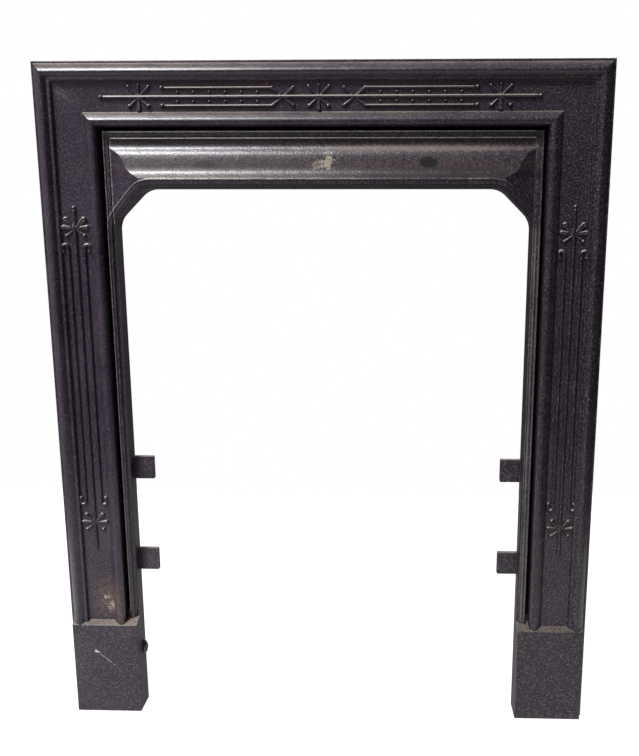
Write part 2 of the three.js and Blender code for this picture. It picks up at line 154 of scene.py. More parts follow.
class Solids:
    """Closed meshes made from outlines, and how they are joined and cut."""

    @staticmethod
    def from_rings(name: str, rings: list[list[Vector]]) -> bpy.types.Object:
        """Skins a row of outlines that have the same count of points and caps both ends.

        Args:
            name: Name of the new object.
            rings: The outlines, in millimetres.

        Returns:
            The closed object, in metres.
        """
        count = len(rings[0])
        vertices = [tuple(point * MM) for ring in rings for point in ring]
        faces: list[tuple[int, ...]] = []
        for r in range(len(rings) - 1):
            for i in range(count):
                j = (i + 1) % count
                faces.append((r * count + i, r * count + j, (r + 1) * count + j, (r + 1) * count + i))
        last = (len(rings) - 1) * count
        faces.append(tuple(range(count - 1, -1, -1)))
        faces.append(tuple(range(last, last + count)))
        return Solids.from_faces(name, vertices, faces)

    @staticmethod
    def from_faces(name: str, vertices: list, faces: list) -> bpy.types.Object:
        """Makes an object and turns its faces outward.

        Args:
            name: Name of the new object.
            vertices: Places of the vertices, in metres.
            faces: Vertex numbers of each face.

        Returns:
            The object, linked to the scene.
        """
        mesh = bpy.data.meshes.new(name)
        mesh.from_pydata(vertices, [], faces)
        mesh.update()
        volume = 0.0
        mesh.calc_loop_triangles()
        for triangle in mesh.loop_triangles:
            a, b, c = (mesh.vertices[i].co for i in triangle.vertices)
            volume += a.dot(b.cross(c))
        if volume < 0:
            mesh.flip_normals()
        thing = bpy.data.objects.new(name, mesh)
        bpy.context.scene.collection.objects.link(thing)
        return thing

    @staticmethod
    def along_x(name: str, outline: list[Vector], x0: float, x1: float) -> bpy.types.Object:
        """Carries an outline in (depth below the top, forward) from x0 to x1.

        Args:
            name: Name of the new object.
            outline: The outline's points.
            x0: Left end.
            x1: Right end.

        Returns:
            The solid bar.
        """
        rings = [[Vector((x, BACK_Y - p.y, HEIGHT - p.x)) for p in outline] for x in (x0, x1)]
        return Solids.from_rings(name, rings)

    @staticmethod
    def along_y(name: str, outline: list[Vector], near: float, far: float) -> bpy.types.Object:
        """Carries an outline in (x, z) between two depths in front of the back plane.

        Args:
            name: Name of the new object.
            outline: The outline's points.
            near: First depth.
            far: Second depth.

        Returns:
            The solid plate.
        """
        rings = [[Vector((p.x, BACK_Y - t, p.y)) for p in outline] for t in (near, far)]
        return Solids.from_rings(name, rings)

    @staticmethod
    def along_z(name: str, outline: list[Vector], z0: float, z1: float) -> bpy.types.Object:
        """Carries an outline in (x, forward) between two heights.

        Args:
            name: Name of the new object.
            outline: The outline's points.
            z0: Lower end.
            z1: Upper end.

        Returns:
            The solid post.
        """
        rings = [[Vector((p.x, BACK_Y - p.y, z)) for p in outline] for z in (z0, z1)]
        return Solids.from_rings(name, rings)

    @staticmethod
    def mitred(name: str, section: list[Vector]) -> bpy.types.Object:
        """Carries a section up one jamb, across the lintel and down the other, with mitres.

        Args:
            name: Name of the new object.
            section: Points as (inward from the outer edge, forward from the back plane).

        Returns:
            The solid frame.
        """
        rings = [
            [Vector((p.x - HALF, BACK_Y - p.y, 0.0)) for p in section],
            [Vector((p.x - HALF, BACK_Y - p.y, HEIGHT - p.x)) for p in section],
            [Vector((HALF - p.x, BACK_Y - p.y, HEIGHT - p.x)) for p in section],
            [Vector((HALF - p.x, BACK_Y - p.y, 0.0)) for p in section],
        ]
        return Solids.from_rings(name, rings)

    @staticmethod
    def combine(target: bpy.types.Object, tool: bpy.types.Object, how: Joining) -> bpy.types.Object:
        """Combines a solid with another, which is used up.

        Args:
            target: The solid that is changed.
            tool: The solid that is used up.
            how: Whether they are added, cut or kept where both are.

        Returns:
            The changed target.
        """
        modifier = target.modifiers.new("combine", "BOOLEAN")
        modifier.solver = "MANIFOLD"
        modifier.operation = how.value
        modifier.object = tool
        graph = bpy.context.evaluated_depsgraph_get()
        result = bpy.data.meshes.new_from_object(target.evaluated_get(graph))
        target.modifiers.clear()
        spent, used = target.data, tool.data
        target.data = result
        bpy.data.meshes.remove(spent)
        bpy.data.objects.remove(tool)
        bpy.data.meshes.remove(used)
        return target


def swelling(length: float, reach: float, slopes: tuple[Point, ...], steps: int) -> list[Point]:
    """Follows a moulding whose slope is given at a few places along it.

    Args:
        length: Its length along the wall.
        reach: How far forward its foremost point stands.
        slopes: Slopes, each with its place along the moulding.
        steps: Count of short faces.

    Returns:
        Points as (along, forward).
    """
    places = np.linspace(0, length, steps + 1)
    slope = np.interp(places, *zip(*slopes))
    slope = np.convolve(np.pad(slope, 1, mode="edge"), np.full(3, 1 / 3), mode="valid")
    rises = np.concatenate([[0], np.cumsum((slope[1:] + slope[:-1]) / 2)])
    return list(zip(places.tolist(), (rises * reach / rises.max()).tolist()))


# Places along each swelling, with its slope there
TORUS_SLOPES = (
    *((0.0, 3.2), (0.8, 1.7), (2.0, 1.0), (5.0, 0.8), (7.6, 0.62)),
    *((9.9, 0.42), (11.5, 0.0), (12.6, -0.6), (14.5, -1.0), (17.25, -1.3)),
)
ROLL_SLOPES = (
    *((0.0, 3.2), (0.7, 1.5), (2.0, 0.9), (6.0, 0.78), (8.8, 0.72), (10.3, 0.4)),
    *((11.6, 0.0), (13.8, -0.25), (15.8, -0.7), (17.0, -1.8), (18.0, -3.5)),
)
OGEE_SLOPES = (
    *((0.0, -0.02), (5.0, 0.02), (8.6, 0.30), (12.4, 0.62), (15.4, 0.52), (19.5, 0.29)),
    *((25.0, 0.17), (35.0, 0.16), (39.5, 0.30), (42.5, 0.48), (45.0, 0.60), (48.5, 0.68), (49.5, 0.60)),
)

# Corners of the beads: across, forward and softness
BAND_BEAD = ((0.1, -0.1, HAIR), (2.0, 0.5, EASED), (2.5, 0.4, CRISP), (3.0, -0.4, CRISP))
HOOD_BEAD = ((0.3, -0.9, HAIR), (2.4, -0.2, EASED), (2.9, -0.1, CRISP))


@dataclass
class FrameMoulding:
    """The mitred section: rim, torus, fillet, sunk panel, roll, groove and beaded band."""

    rim_width: float = 4.0
    rim_depth: float = 27.0
    torus_step: float = 1.0
    torus_radius: float = 11.5
    torus_foot_degrees: float = 60.0
    crest_depth: float = 38.0
    fillet_width: float = 4.0
    fillet_depth: float = 33.2
    fillet_slope: float = 2.0
    panel_depth: float = 28.0
    panel_width: float = 37.5
    roll_radius: float = 9.65
    roll_depth: float = 37.2
    roll_foot_degrees: float = 30.0
    groove_width: float = 4.5
    groove_depth: float = 19.0
    band_width: float = 8.0
    band_depth: float = 24.8
    band_lip: float = 1.4
    quirk: float = 0.6
    nick: float = 0.3
    fillet_bevel: float = 0.5
    roll_heel: float = 0.5
    band_fall: float = 0.1
    soft: float = 0.7
    curve_steps: int = 26
    torus_end: float = field(init=False)
    panel_start: float = field(init=False)
    roll_start: float = field(init=False)
    groove_start: float = field(init=False)
    band_start: float = field(init=False)
    band_end: float = field(init=False)
    splay_depth: float = field(init=False)

    def __post_init__(self) -> None:
        """Works out where each member of the section starts."""
        foot = math.cos(math.radians(self.torus_foot_degrees))
        self.torus_end = self.rim_width + self.torus_radius * (1 + foot)
        self.panel_start = self.torus_end + self.quirk / 2 + self.fillet_width + self.fillet_slope
        self.roll_start = self.panel_start + self.panel_width
        foot = math.cos(math.radians(self.roll_foot_degrees))
        self.groove_start = self.roll_start + self.roll_radius * (1 + foot)
        self.band_start = self.groove_start + self.groove_width + self.quirk
        self.band_end = self.band_start + self.band_width
        self.splay_depth = self.band_depth - self.band_lip

    @property
    def panel_centre(self) -> float:
        """Distance from the outer edge to the middle of the panel."""
        return self.panel_start + self.panel_width / 2

    def section(self, rise: float) -> list[Vector]:
        """Draws the section.

        Args:
            rise: How far the whole face is brought forward.

        Returns:
            Its points, inward and forward.
        """
        quirk, nick = self.quirk, self.nick
        rim, panel, groove = self.rim_depth + rise, self.panel_depth + rise, self.groove_depth + rise
        fillet, fillet_depth = self.torus_end + quirk / 2, self.fillet_depth + rise
        torus_base = rim + self.torus_step
        torus_reach = self.crest_depth + rise - torus_base
        pen = Pen(0, 0).line(0, rim, ROUND).line(self.rim_width - nick, rim, EASED)
        for c, t in swelling(self.torus_end - self.rim_width, torus_reach, TORUS_SLOPES, self.curve_steps):
            pen.line(self.rim_width + c, torus_base + t)
        pen.line(fillet, fillet_depth - quirk, HAIR)
        pen.line(fillet + self.fillet_bevel, fillet_depth - HAIR, EASED)
        pen.line(fillet + self.fillet_width, fillet_depth, self.soft)
        pen.line(self.panel_start, panel, ROUND).line(self.roll_start - nick, panel, self.roll_heel)
        roll_reach = self.roll_depth - self.panel_depth
        for c, t in swelling(self.groove_start - self.roll_start, roll_reach, ROLL_SLOPES, self.curve_steps):
            pen.line(self.roll_start + c, panel + t)
        pen.line(self.groove_start + quirk, groove, ROUND).line(self.band_start - quirk, groove, 1.0)
        pen.line(self.band_start, self.splay_depth + rise, CRISP)
        for across, forward, edge in BAND_BEAD:
            pen.line(self.band_start + across, self.band_depth + forward + rise, edge)
        pen.line(self.band_end - quirk, self.band_depth - self.band_fall + rise, self.soft)
        pen.line(self.band_end, self.splay_depth + rise).line(self.band_end, 0)
        return pen.outline()


@dataclass
class Hood:
    """The splayed hood over the opening, down to its nosing, and the splayed jamb faces."""

    frame: FrameMoulding
    bead_width: float = 3.5
    bead_rise: float = 0.8
    top_depth: float = 22.8
    ogee: float = 49.5
    ogee_reach: float = 18.4
    ogee_steps: int = 54
    nosing: float = 13.3
    splay: float = 0.42
    jamb_edge: float = 3.9

    @property
    def ogee_start(self) -> float:
        """Depth below the top at which the fall starts."""
        return self.frame.band_end + self.bead_width + self.frame.quirk

    @property
    def nosing_start(self) -> float:
        """Depth below the top at which the nosing starts."""
        return self.ogee_start + self.ogee

    @property
    def nosing_depth(self) -> float:
        """How far the nosing stands in front of the back plane."""
        return self.top_depth + self.ogee_reach

    @property
    def lintel_height(self) -> float:
        """Height of the lintel with its hood."""
        return self.nosing_start + self.nosing

    @property
    def jamb_width(self) -> float:
        """Width of a jamb from its outer edge to the opening."""
        return self.frame.band_end + self.jamb_edge

    def section(self, rise: float) -> list[Vector]:
        """Draws the hood's section.

        Args:
            rise: How far the whole face is brought forward.

        Returns:
            Its points, below the top and forward.
        """
        edge, face = self.frame.band_end, self.frame.splay_depth + rise
        pen = Pen(edge - OVERLAP, 0).line(edge - OVERLAP, face).line(edge, face)
        for across, forward, softness in HOOD_BEAD:
            pen.line(edge + across, self.frame.band_depth + self.bead_rise + rise + forward, softness)
        pen.line(edge + self.bead_width, self.top_depth + rise, CRISP)
        for c, t in swelling(self.ogee, self.ogee_reach, OGEE_SLOPES, self.ogee_steps):
            pen.line(self.ogee_start + c, self.top_depth + t + rise)
        pen.line(HEIGHT + BEYOND, self.nosing_depth + rise).line(HEIGHT + BEYOND, 0)
        return pen.outline()

    def splay_block(self, rise: float) -> bpy.types.Object:
        """Makes the block whose two slanting sides are the splayed jamb faces.

        Args:
            rise: How far the faces are brought forward.

        Returns:
            The solid block.
        """
        depth = self.frame.splay_depth + rise
        reach = FULL_DEPTH + BEYOND - self.frame.splay_depth
        edge = HALF - self.frame.band_end + OVERLAP
        knee = HALF - self.frame.band_end - reach / self.splay
        slope_start = depth - OVERLAP * self.splay
        pen = Pen(-edge, 0).line(edge, 0).line(edge, slope_start)
        pen.line(knee, depth + reach).line(-knee, depth + reach).line(-edge, slope_start)
        return Solids.along_z("splay", pen.outline(), 0, HEIGHT - self.frame.band_end + OVERLAP)

    def solid(self, rise: float) -> bpy.types.Object:
        """Makes the hood with the splayed jamb faces.

        Args:
            rise: How far the face is brought forward.

        Returns:
            The solid.
        """
        bar = Solids.along_x("hood", self.section(rise), -HALF - BEYOND, HALF + BEYOND)
        return Solids.combine(bar, self.splay_block(rise), Joining.KEEP)


@dataclass
class HearthOpening:
    """The opening with its rounded slanting corners and the stepped edge round it."""

    hood: Hood
    chamfer: float = 42.0
    corner_radius: float = 30.0
    corner_steps: int = 10
    rings: tuple[Point, ...] = (
        (12.9, 0.25),
        (12.5, 0.5),
        (12.1, 0.75),
        (11.7, 1.0),
        (10.3, 0.6),
        (9.9, 0.2),
        (6.3, 0.0),
        (5.9, -0.5),
        (5.5, -1.2),
        (5.1, -1.6),
        (2.9, -2.0),
        (2.6, -3.2),
        (2.2, -3.6),
    )

    def outline(self, grow: float) -> list[Vector]:
        """Draws the opening's outline.

        Args:
            grow: How far the outline is moved into the metal.

        Returns:
            Its points in (x, z).
        """
        bisector = math.tan(math.pi / 8)
        side = HALF - self.hood.jamb_width + grow
        head = HEIGHT - self.hood.lintel_height + grow
        radius = self.corner_radius + grow
        reach = self.chamfer - grow * bisector + radius * bisector
        head_x = HALF - self.hood.jamb_width - reach
        side_z = HEIGHT - self.hood.lintel_height - reach
        right = [(side, -BEYOND)]
        for middle, first in (((side - radius, side_z), 0), ((head_x, head - radius), 45)):
            for step in range(self.corner_steps + 1):
                angle = math.radians(first + 45 * step / self.corner_steps)
                right.append((middle[0] + radius * math.cos(angle), middle[1] + radius * math.sin(angle)))
        left = [(-x, z) for x, z in reversed(right)]
        return [Vector(point) for point in right + left]

    def solid(self, grow: float) -> bpy.types.Object:
        """Makes the block that cuts the opening.

        Args:
            grow: How far the outline is moved into the metal.

        Returns:
            The solid block.
        """
        return Solids.along_y("opening", self.outline(grow), -BEYOND, FULL_DEPTH + BEYOND)


@dataclass
class PlinthBlock:
    """A plain block under a jamb, with a ledge that slopes back up to the mouldings."""

    frame: FrameMoulding
    hood: Hood
    height: float = 140.0
    inset: float = 4.0
    ledge_degrees: float = 24.0
    soft: float = 1.0
    foot_soft: float = 0.6

    def solid(self, side: int) -> bpy.types.Object:
        """Makes one block.

        Args:
            side: -1 for the left block, 1 for the right one.

        Returns:
            The solid block.
        """
        front = self.frame.crest_depth
        ledge = HEIGHT - self.height
        pen = Pen(HEIGHT, 0).line(HEIGHT, front, self.foot_soft).line(ledge, front, self.soft)
        pen.line(ledge - front * math.tan(math.radians(self.ledge_degrees)), 0)
        inner = side * (HALF - self.hood.jamb_width)
        outer = side * (HALF - self.inset)
        left, right = min(inner, outer) - BEYOND, max(inner, outer) + BEYOND
        block = Solids.along_x("plinth", pen.outline(), left, right)
        plan = Pen(outer, -BEYOND).line(outer, front, self.soft).line(inner, front, self.soft)
        plan.line(inner, -BEYOND)
        return Solids.combine(block, Solids.along_z("plan", plan.outline(), -BEYOND, HEIGHT), Joining.KEEP)


@dataclass
class FixingLug:
    """A flat lug that stands into the opening at the back plane."""

    hood: Hood
    reach: float = 29.0
    height: float = 33.5
    thickness: float = 6.0
    root: float = 3.0
    soft: float = 1.4
    centres: Point = (232.5, 374.5)

    def solid(self, side: int, z: float) -> bpy.types.Object:
        """Makes one lug.

        Args:
            side: -1 for the left jamb, 1 for the right one.
            z: Height of its middle.

        Returns:
            The solid lug.
        """
        start = side * (HALF - self.hood.jamb_width + self.root)
        tip = side * (HALF - self.hood.jamb_width - self.reach)
        low, high = z - self.height / 2, z + self.height / 2
        pen = Pen(start, low).line(tip, low, self.soft).line(tip, high, self.soft).line(start, high)
        return Solids.along_y("lug", pen.outline(), 0, self.thickness)


@dataclass
class OpenBack:
    """The hollows behind the mouldings, the jambs, the plinths and the hood."""

    frame: FrameMoulding
    hood: Hood
    opening: HearthOpening
    plinth: PlinthBlock
    wall: float = 6.0
    thick_wall: float = 7.0
    rib_width: float = 6.0
    soft: float = 2.0

    @property
    def rib_start(self) -> float:
        """Depth below the top at which the rib behind the groove starts."""
        return self.frame.groove_start - self.rib_width / 2

    def frame_hollow(self) -> bpy.types.Object:
        """Makes the hollow that runs behind the panel mouldings.

        Returns:
            The solid hollow.
        """
        floor = self.frame.panel_depth - self.thick_wall
        pen = Pen(self.wall, -OVERLAP).line(self.wall, floor, self.soft)
        pen.line(self.rib_start - self.wall / 2, floor, self.soft)
        pen.line(self.rib_start, self.frame.groove_depth - self.wall).line(self.rib_start, -OVERLAP)
        return Solids.mitred("frame_hollow", pen.outline())

    def block(self, x0: float, x1: float, z0: float, z1: float, depth: float) -> bpy.types.Object:
        """Makes a plain hollow.

        Args:
            x0: One side.
            x1: The other side.
            z0: Lower end.
            z1: Upper end.
            depth: How far it reaches forward of the back plane.

        Returns:
            The solid block.
        """
        pen = Pen(x0, z0).line(x1, z0).line(x1, z1).line(x0, z1)
        return Solids.along_y("hollow", pen.outline(), -OVERLAP, depth)

    def jamb_hollow(self, side: int) -> bpy.types.Object:
        """Makes the hollow behind one jamb's groove and band.

        Args:
            side: -1 for the left and 1 for the right.

        Returns:
            The solid hollow.
        """
        outer = side * (HALF - self.rib_start + OVERLAP)
        inner = side * (HALF - self.hood.jamb_width + self.wall)
        top = HEIGHT - self.rib_start - self.rib_width
        return self.block(inner, outer, -OVERLAP, top, self.frame.groove_depth - self.wall)

    def plinth_hollow(self, side: int) -> bpy.types.Object:
        """Makes the hollow inside one plinth block.

        Args:
            side: -1 for the left and 1 for the right.

        Returns:
            The solid hollow.
        """
        outer = side * (HALF - self.plinth.inset - self.thick_wall)
        inner = side * (HALF - self.hood.jamb_width + self.thick_wall)
        top = self.plinth.height - self.thick_wall
        return self.block(inner, outer, -OVERLAP, top, self.frame.crest_depth - self.thick_wall)

    def hood_hollow(self) -> bpy.types.Object:
        """Makes the hollow behind the hood.

        Returns:
            The solid hollow.
        """
        below = self.rib_start + self.rib_width
        foot = self.hood.lintel_height + self.opening.chamfer
        nose = self.hood.nosing_depth - self.thick_wall
        pen = Pen(below, -OVERLAP).line(below, self.frame.groove_depth - self.wall)
        pen.line(self.hood.ogee_start, self.hood.top_depth - self.wall)
        pen.line(self.hood.nosing_start, nose).line(foot, nose).line(foot, -OVERLAP)
        bar = Solids.along_x("hood_hollow", pen.outline(), -HALF - BEYOND, HALF + BEYOND)
        reach = self.hood.splay_block(-self.wall)
        back = self.block(below - HALF, HALF - below, 0, HEIGHT, 0)
        Solids.combine(reach, back, Joining.ADD)
        Solids.combine(bar, reach, Joining.KEEP)
        return Solids.combine(bar, self.opening.solid(self.wall), Joining.CUT)

    def solids(self) -> list[bpy.types.Object]:
        """Makes every hollow.

        Returns:
            The solids to cut away.
        """
        hollows = [self.frame_hollow(), self.hood_hollow()]
        for side in (-1, 1):
            hollows.append(self.jamb_hollow(side))
            hollows.append(self.plinth_hollow(side))
        return hollows


@dataclass
class CastingFlaws:
    """The blob of iron on the left plinth's inner side and the rough edge beside and below it."""

    hood: Hood
    plinth: PlinthBlock
    lump_drop: float = 48.0
    lump_depth: float = 9.5
    lump_size: Place = (6.4, 7.0, 11.5)
    chip_heights: tuple[float, ...] = (70.0, 52.0, 37.0, 20.0)
    chip_depth: float = 35.5
    chip_size: Place = (2.0, 3.4, 10.0)
    rings: int = 10
    sides: int = 16
    roughness: float = 0.22
    dents: float = 2.1
    seed: float = 3.7

    def blob(self, centre: Place, size: Place) -> bpy.types.Object:
        """Makes a rough round lump.

        Args:
            centre: Its middle, in millimetres.
            size: Its half sizes.

        Returns:
            The solid lump.
        """
        rings, sides = self.rings, self.sides
        vertices = [Vector((0, 0, -1))]
        for ring in range(1, rings):
            polar = math.pi * ring / rings
            for step in range(sides):
                turn = 2 * math.pi * step / sides
                flat = math.sin(polar)
                vertices.append(Vector((flat * math.cos(turn), flat * math.sin(turn), -math.cos(polar))))
        vertices.append(Vector((0, 0, 1)))
        top = 1 + (rings - 2) * sides
        faces: list[tuple[int, ...]] = []
        for step in range(sides):
            after = (step + 1) % sides
            faces.append((0, 1 + after, 1 + step))
            for ring in range(rings - 2):
                low, high = 1 + ring * sides, 1 + (ring + 1) * sides
                faces.append((low + step, low + after, high + after, high + step))
            faces.append((top + step, top + after, len(vertices) - 1))
        placed = []
        for point in vertices:
            dent = noise.noise(point * self.dents + Vector((self.seed, centre[2] * 0.1, 0)))
            grown = Vector(point * (1 + self.roughness * dent) * Vector(size))
            placed.append(tuple((Vector(centre) + grown) * MM))
        return Solids.from_faces("blob", placed, faces)

    def lump(self) -> bpy.types.Object:
        """Makes the blob of iron.

        Returns:
            The solid blob.
        """
        x = self.hood.jamb_width - HALF
        y = BACK_Y - self.lump_depth
        return self.blob((x, y, self.plinth.height - self.lump_drop), self.lump_size)

    def chips(self) -> list[bpy.types.Object]:
        """Makes the rough swellings along the broken edge below the blob."""
        x, y = self.hood.jamb_width - HALF, BACK_Y - self.chip_depth
        return [self.blob((x, y, z), self.chip_size) for z in self.chip_heights]


@dataclass
class SurroundCasting:
    """The whole casting without its low ornament."""

    frame: FrameMoulding
    hood: Hood
    opening: HearthOpening
    plinth: PlinthBlock
    lug: FixingLug
    back: OpenBack
    flaws: CastingFlaws
    smooth_degrees: float = 16.0
    mitre_reach: float = 0.02

    def relief(self, rise: float) -> bpy.types.Object:
        """Makes the frame and hood, brought forward by a rise."""
        whole = Solids.mitred("frame", self.frame.section(rise))
        return Solids.combine(whole, self.hood.solid(rise), Joining.ADD)

    def front(self) -> bpy.types.Object:
        """Makes the front with its stepped edge round the opening.

        Returns:
            The solid front.
        """
        rings = self.opening.rings
        whole = self.relief(0)
        Solids.combine(whole, self.opening.solid(rings[0][0]), Joining.CUT)
        for number, (width, rise) in enumerate(rings):
            inner = rings[number + 1][0] if number + 1 < len(rings) else 0.0
            ring = self.relief(rise)
            Solids.combine(ring, self.opening.solid(width), Joining.KEEP)
            Solids.combine(ring, self.opening.solid(inner), Joining.CUT)
            Solids.combine(whole, ring, Joining.ADD)
        return whole

    def build(self) -> bpy.types.Object:
        """Joins every part of the casting, hollows its back and smooths its shading.

        Returns:
            The finished object.
        """
        body = self.front()
        for side in (-1, 1):
            Solids.combine(body, self.plinth.solid(side), Joining.ADD)
            for z in self.lug.centres:
                Solids.combine(body, self.lug.solid(side, z), Joining.ADD)
        for flaw in (self.flaws.lump(), *self.flaws.chips()):
            Solids.combine(body, flaw, Joining.ADD)
        for hollow in self.back.solids():
            Solids.combine(body, hollow, Joining.CUT)
        body.name = "surround_casting_dressed"
        shade(body, self.smooth_degrees)
        self.sharpen_mitres(body)
        return body

    def sharpen_mitres(self, body: bpy.types.Object) -> None:
        """Keeps the shading of the lintel and of the jambs apart where they meet.

        Args:
            body: The finished casting.
        """
        sharp = body.data.attributes["sharp_edge"]
        for edge in body.data.edges:
            ends = [body.data.vertices[i].co for i in edge.vertices]
            gaps = [abs((HALF * MM - abs(end.x)) - (HEIGHT * MM - end.z)) for end in ends]
            if max(gaps) < self.mitre_reach * MM and abs(ends[0].x - ends[1].x) > 0:
                sharp.data[edge.index].value = True


def shade(thing: bpy.types.Object, degrees: float) -> None:
    """Smooths the shading but for edges sharper than an angle, and keeps flat faces flat.

    Args:
        thing: The object to shade.
        degrees: The angle from which an edge stays sharp.
    """
    for polygon in thing.data.polygons:
        polygon.use_smooth = True
    thing.data.set_sharp_from_angle(angle=math.radians(degrees))
    weighted = thing.modifiers.new("flat faces stay flat", "WEIGHTED_NORMAL")
    weighted.keep_sharp = True


class ReliefField:
    """A grid of heights over a panel, raised by ridges, balls and petals."""

    FLOOR = -0.45
    SHOWS = -0.4
    BED = 1.6
    ROUNDNESS = 0.85
    SKIRT_START = 0.94
    SKIRT_WIDTH = 0.2
    THINNEST = 0.1

    def __init__(self, low: Point, high: Point, pitch: float) -> None:
        """Lays out the grid.

        Args:
            low: Lowest (x, z), in millimetres.
            high: Highest (x, z).
            pitch: Distance between grid lines.
        """
        self.xs = np.arange(low[0], high[0] + pitch, pitch)
        self.zs = np.arange(low[1], high[1] + pitch, pitch)
        self.x, self.z = np.meshgrid(self.xs, self.zs, indexing="ij")
        self.height = np.full(self.x.shape, self.FLOOR)

    def along(self, start: Point, end: Point) -> tuple[np.ndarray, np.ndarray]:
        """Measures the grid against a line.

        Args:
            start: Start of the line.
            end: End of the line.

        Returns:
            The share of the way along it and the distance from it.
        """
        dx, dz = end[0] - start[0], end[1] - start[1]
        share = ((self.x - start[0]) * dx + (self.z - start[1]) * dz) / (dx * dx + dz * dz)
        share = np.clip(share, 0, 1)
        distance = np.hypot(self.x - start[0] - share * dx, self.z - start[1] - share * dz)
        return share, distance

    def rounded(self, distance: np.ndarray, radius: np.ndarray | float, height: np.ndarray | float) -> None:
        """Raises a rounded form with steep sides.

        Args:
            distance: Distance of each grid point from the form's middle.
            radius: The form's half width there.
            height: Its height there.
        """
        share = distance / radius
        dome = np.sqrt(np.clip(1 - share**2, 0, 1))
        raised = height * (self.ROUNDNESS * dome + (1 - self.ROUNDNESS) * np.clip(1 - share, 0, 1))
        raised = raised + self.FLOOR * np.clip((share - self.SKIRT_START) / self.SKIRT_WIDTH, 0, 1)
        self.height = np.maximum(self.height, raised)

    def ridge(self, start: Point, end: Point, radii: Point, heights: Point) -> None:
        """Raises a straight ridge that may taper.

        Args:
            start: Its start.
            end: Its end.
            radii: Half widths at both ends.
            heights: Heights at both ends.
        """
        share, distance = self.along(start, end)
        radius = radii[0] + (radii[1] - radii[0]) * share
        self.rounded(distance, radius, heights[0] + (heights[1] - heights[0]) * share)

    def ball(self, middle: Point, radius: float, height: float) -> None:
        """Raises a ball.

        Args:
            middle: Its middle.
            radius: Its radius.
            height: Its height.
        """
        self.rounded(np.hypot(self.x - middle[0], self.z - middle[1]), radius, height)

    def groove(self, start: Point, end: Point, width: float, depth: float) -> None:
        """Presses a groove into what is raised.

        Args:
            start: Its start.
            end: Its end.
            width: Its half width.
            depth: Its depth.
        """
        _, distance = self.along(start, end)
        pressed = self.height - depth * np.exp(-((distance / width) ** 2))
        self.height = np.where(self.height > 0, np.maximum(pressed, self.THINNEST), self.height)

    def solid(self, name: str, depth: float) -> bpy.types.Object:
        """Makes a closed mesh of what shows above the panel.

        Args:
            name: Name of the new object.
            depth: Depth of the panel in front of the back plane.

        Returns:
            The solid ornament.
        """
        shown = self.height > self.SHOWS
        cells = shown[:-1, :-1] | shown[1:, :-1] | shown[:-1, 1:] | shown[1:, 1:]
        used = np.zeros(self.x.shape, bool)
        for di in (0, 1):
            for dj in (0, 1):
                used[di : di + cells.shape[0], dj : dj + cells.shape[1]] |= cells
        number = np.full(self.x.shape, -1)
        number[used] = np.arange(used.sum())
        count = int(used.sum())
        top_y = BACK_Y - depth - self.height
        top = np.stack([self.x[used], top_y[used], self.z[used]], axis=1)
        bed = top.copy()
        bed[:, 1] = BACK_Y - depth + self.BED
        i, j = np.nonzero(cells)
        a, b, c, d = number[i, j], number[i + 1, j], number[i + 1, j + 1], number[i, j + 1]
        quads = np.stack([a, b, c, d], axis=1)
        faces = [quads, quads[:, ::-1] + count]
        padded = np.pad(cells, 1)
        neighbours = ((0, -1, a, b), (1, 0, b, c), (0, 1, c, d), (-1, 0, d, a))
        for di, dj, first, second in neighbours:
            rim = ~padded[i + 1 + di, j + 1 + dj]
            faces.append(np.stack([second, first, first + count, second + count], axis=1)[rim])
        vertices = np.concatenate([top, bed]) * MM
        return Solids.from_faces(name, vertices.tolist(), np.concatenate(faces).tolist())


@dataclass(frozen=True)
class Ball:
    """A ball of a flower: its place from the flower's middle, radius and height."""

    across: float
    up: float
    radius: float
    height: float

    def rise(self, field_: ReliefField, x: float, z: float, side: int) -> None:
        """Raises the ball.

        Args:
            field_: The panel's field.
            x: The flower's middle.
            z: The flower's middle.
            side: Side of the flower on which it stands.
        """
        field_.ball((x + side * self.across, z + self.up), self.radius, self.height)


@dataclass(frozen=True)
class Petal:
    """A petal that widens from its root to a round tip, with the tip's place from the flower's middle."""

    across: float
    up: float
    root: float
    tip: float
    height: float
    groove: float = 0.0
    cup: float = 0.0
    root_up: float = 0.0
    ROOT_SHARE: ClassVar[float] = 0.55
    GROOVE_START: ClassVar[float] = 0.35
    GROOVE_WIDTH: ClassVar[float] = 0.3
    CUP_WIDTH: ClassVar[float] = 0.45
    CUP_LENGTH: ClassVar[float] = 0.01

    def rise(self, field_: ReliefField, x: float, z: float, side: int) -> None:
        """Raises the petal, with a groove along it and a hollow in its tip where it has them.

        Args:
            field_: The panel's field.
            x: The flower's middle.
            z: The flower's middle.
            side: Side of the flower on which it stands.
        """
        start, end = (x, z + self.root_up), (x + side * self.across, z + self.up)
        field_.ridge(start, end, (self.root, self.tip), (self.height * self.ROOT_SHARE, self.height))
        if self.groove:
            share = self.GROOVE_START
            middle = (start[0] + (end[0] - start[0]) * share, start[1] + (end[1] - start[1]) * share)
            field_.groove(middle, end, self.tip * self.GROOVE_WIDTH, self.groove)
        if self.cup:
            field_.groove(end, (end[0] + self.CUP_LENGTH, end[1]), self.tip * self.CUP_WIDTH, self.cup)


@dataclass(frozen=True)
class Flower:
    """What a flower has on each side, and what it has on its middle line."""

    sides: tuple[Petal | Ball, ...]
    middle: tuple[Petal | Ball, ...] = ()

    def rise(self, field_: ReliefField, x: float, z: float) -> None:
        """Raises the flower.

        Args:
            field_: The panel's field.
            x: Its middle.
            z: Its middle.
        """
        for side in (-1, 1):
            for part in self.sides:
                part.rise(field_, x, z, side)
        for part in self.middle:
            part.rise(field_, x, z, 1)


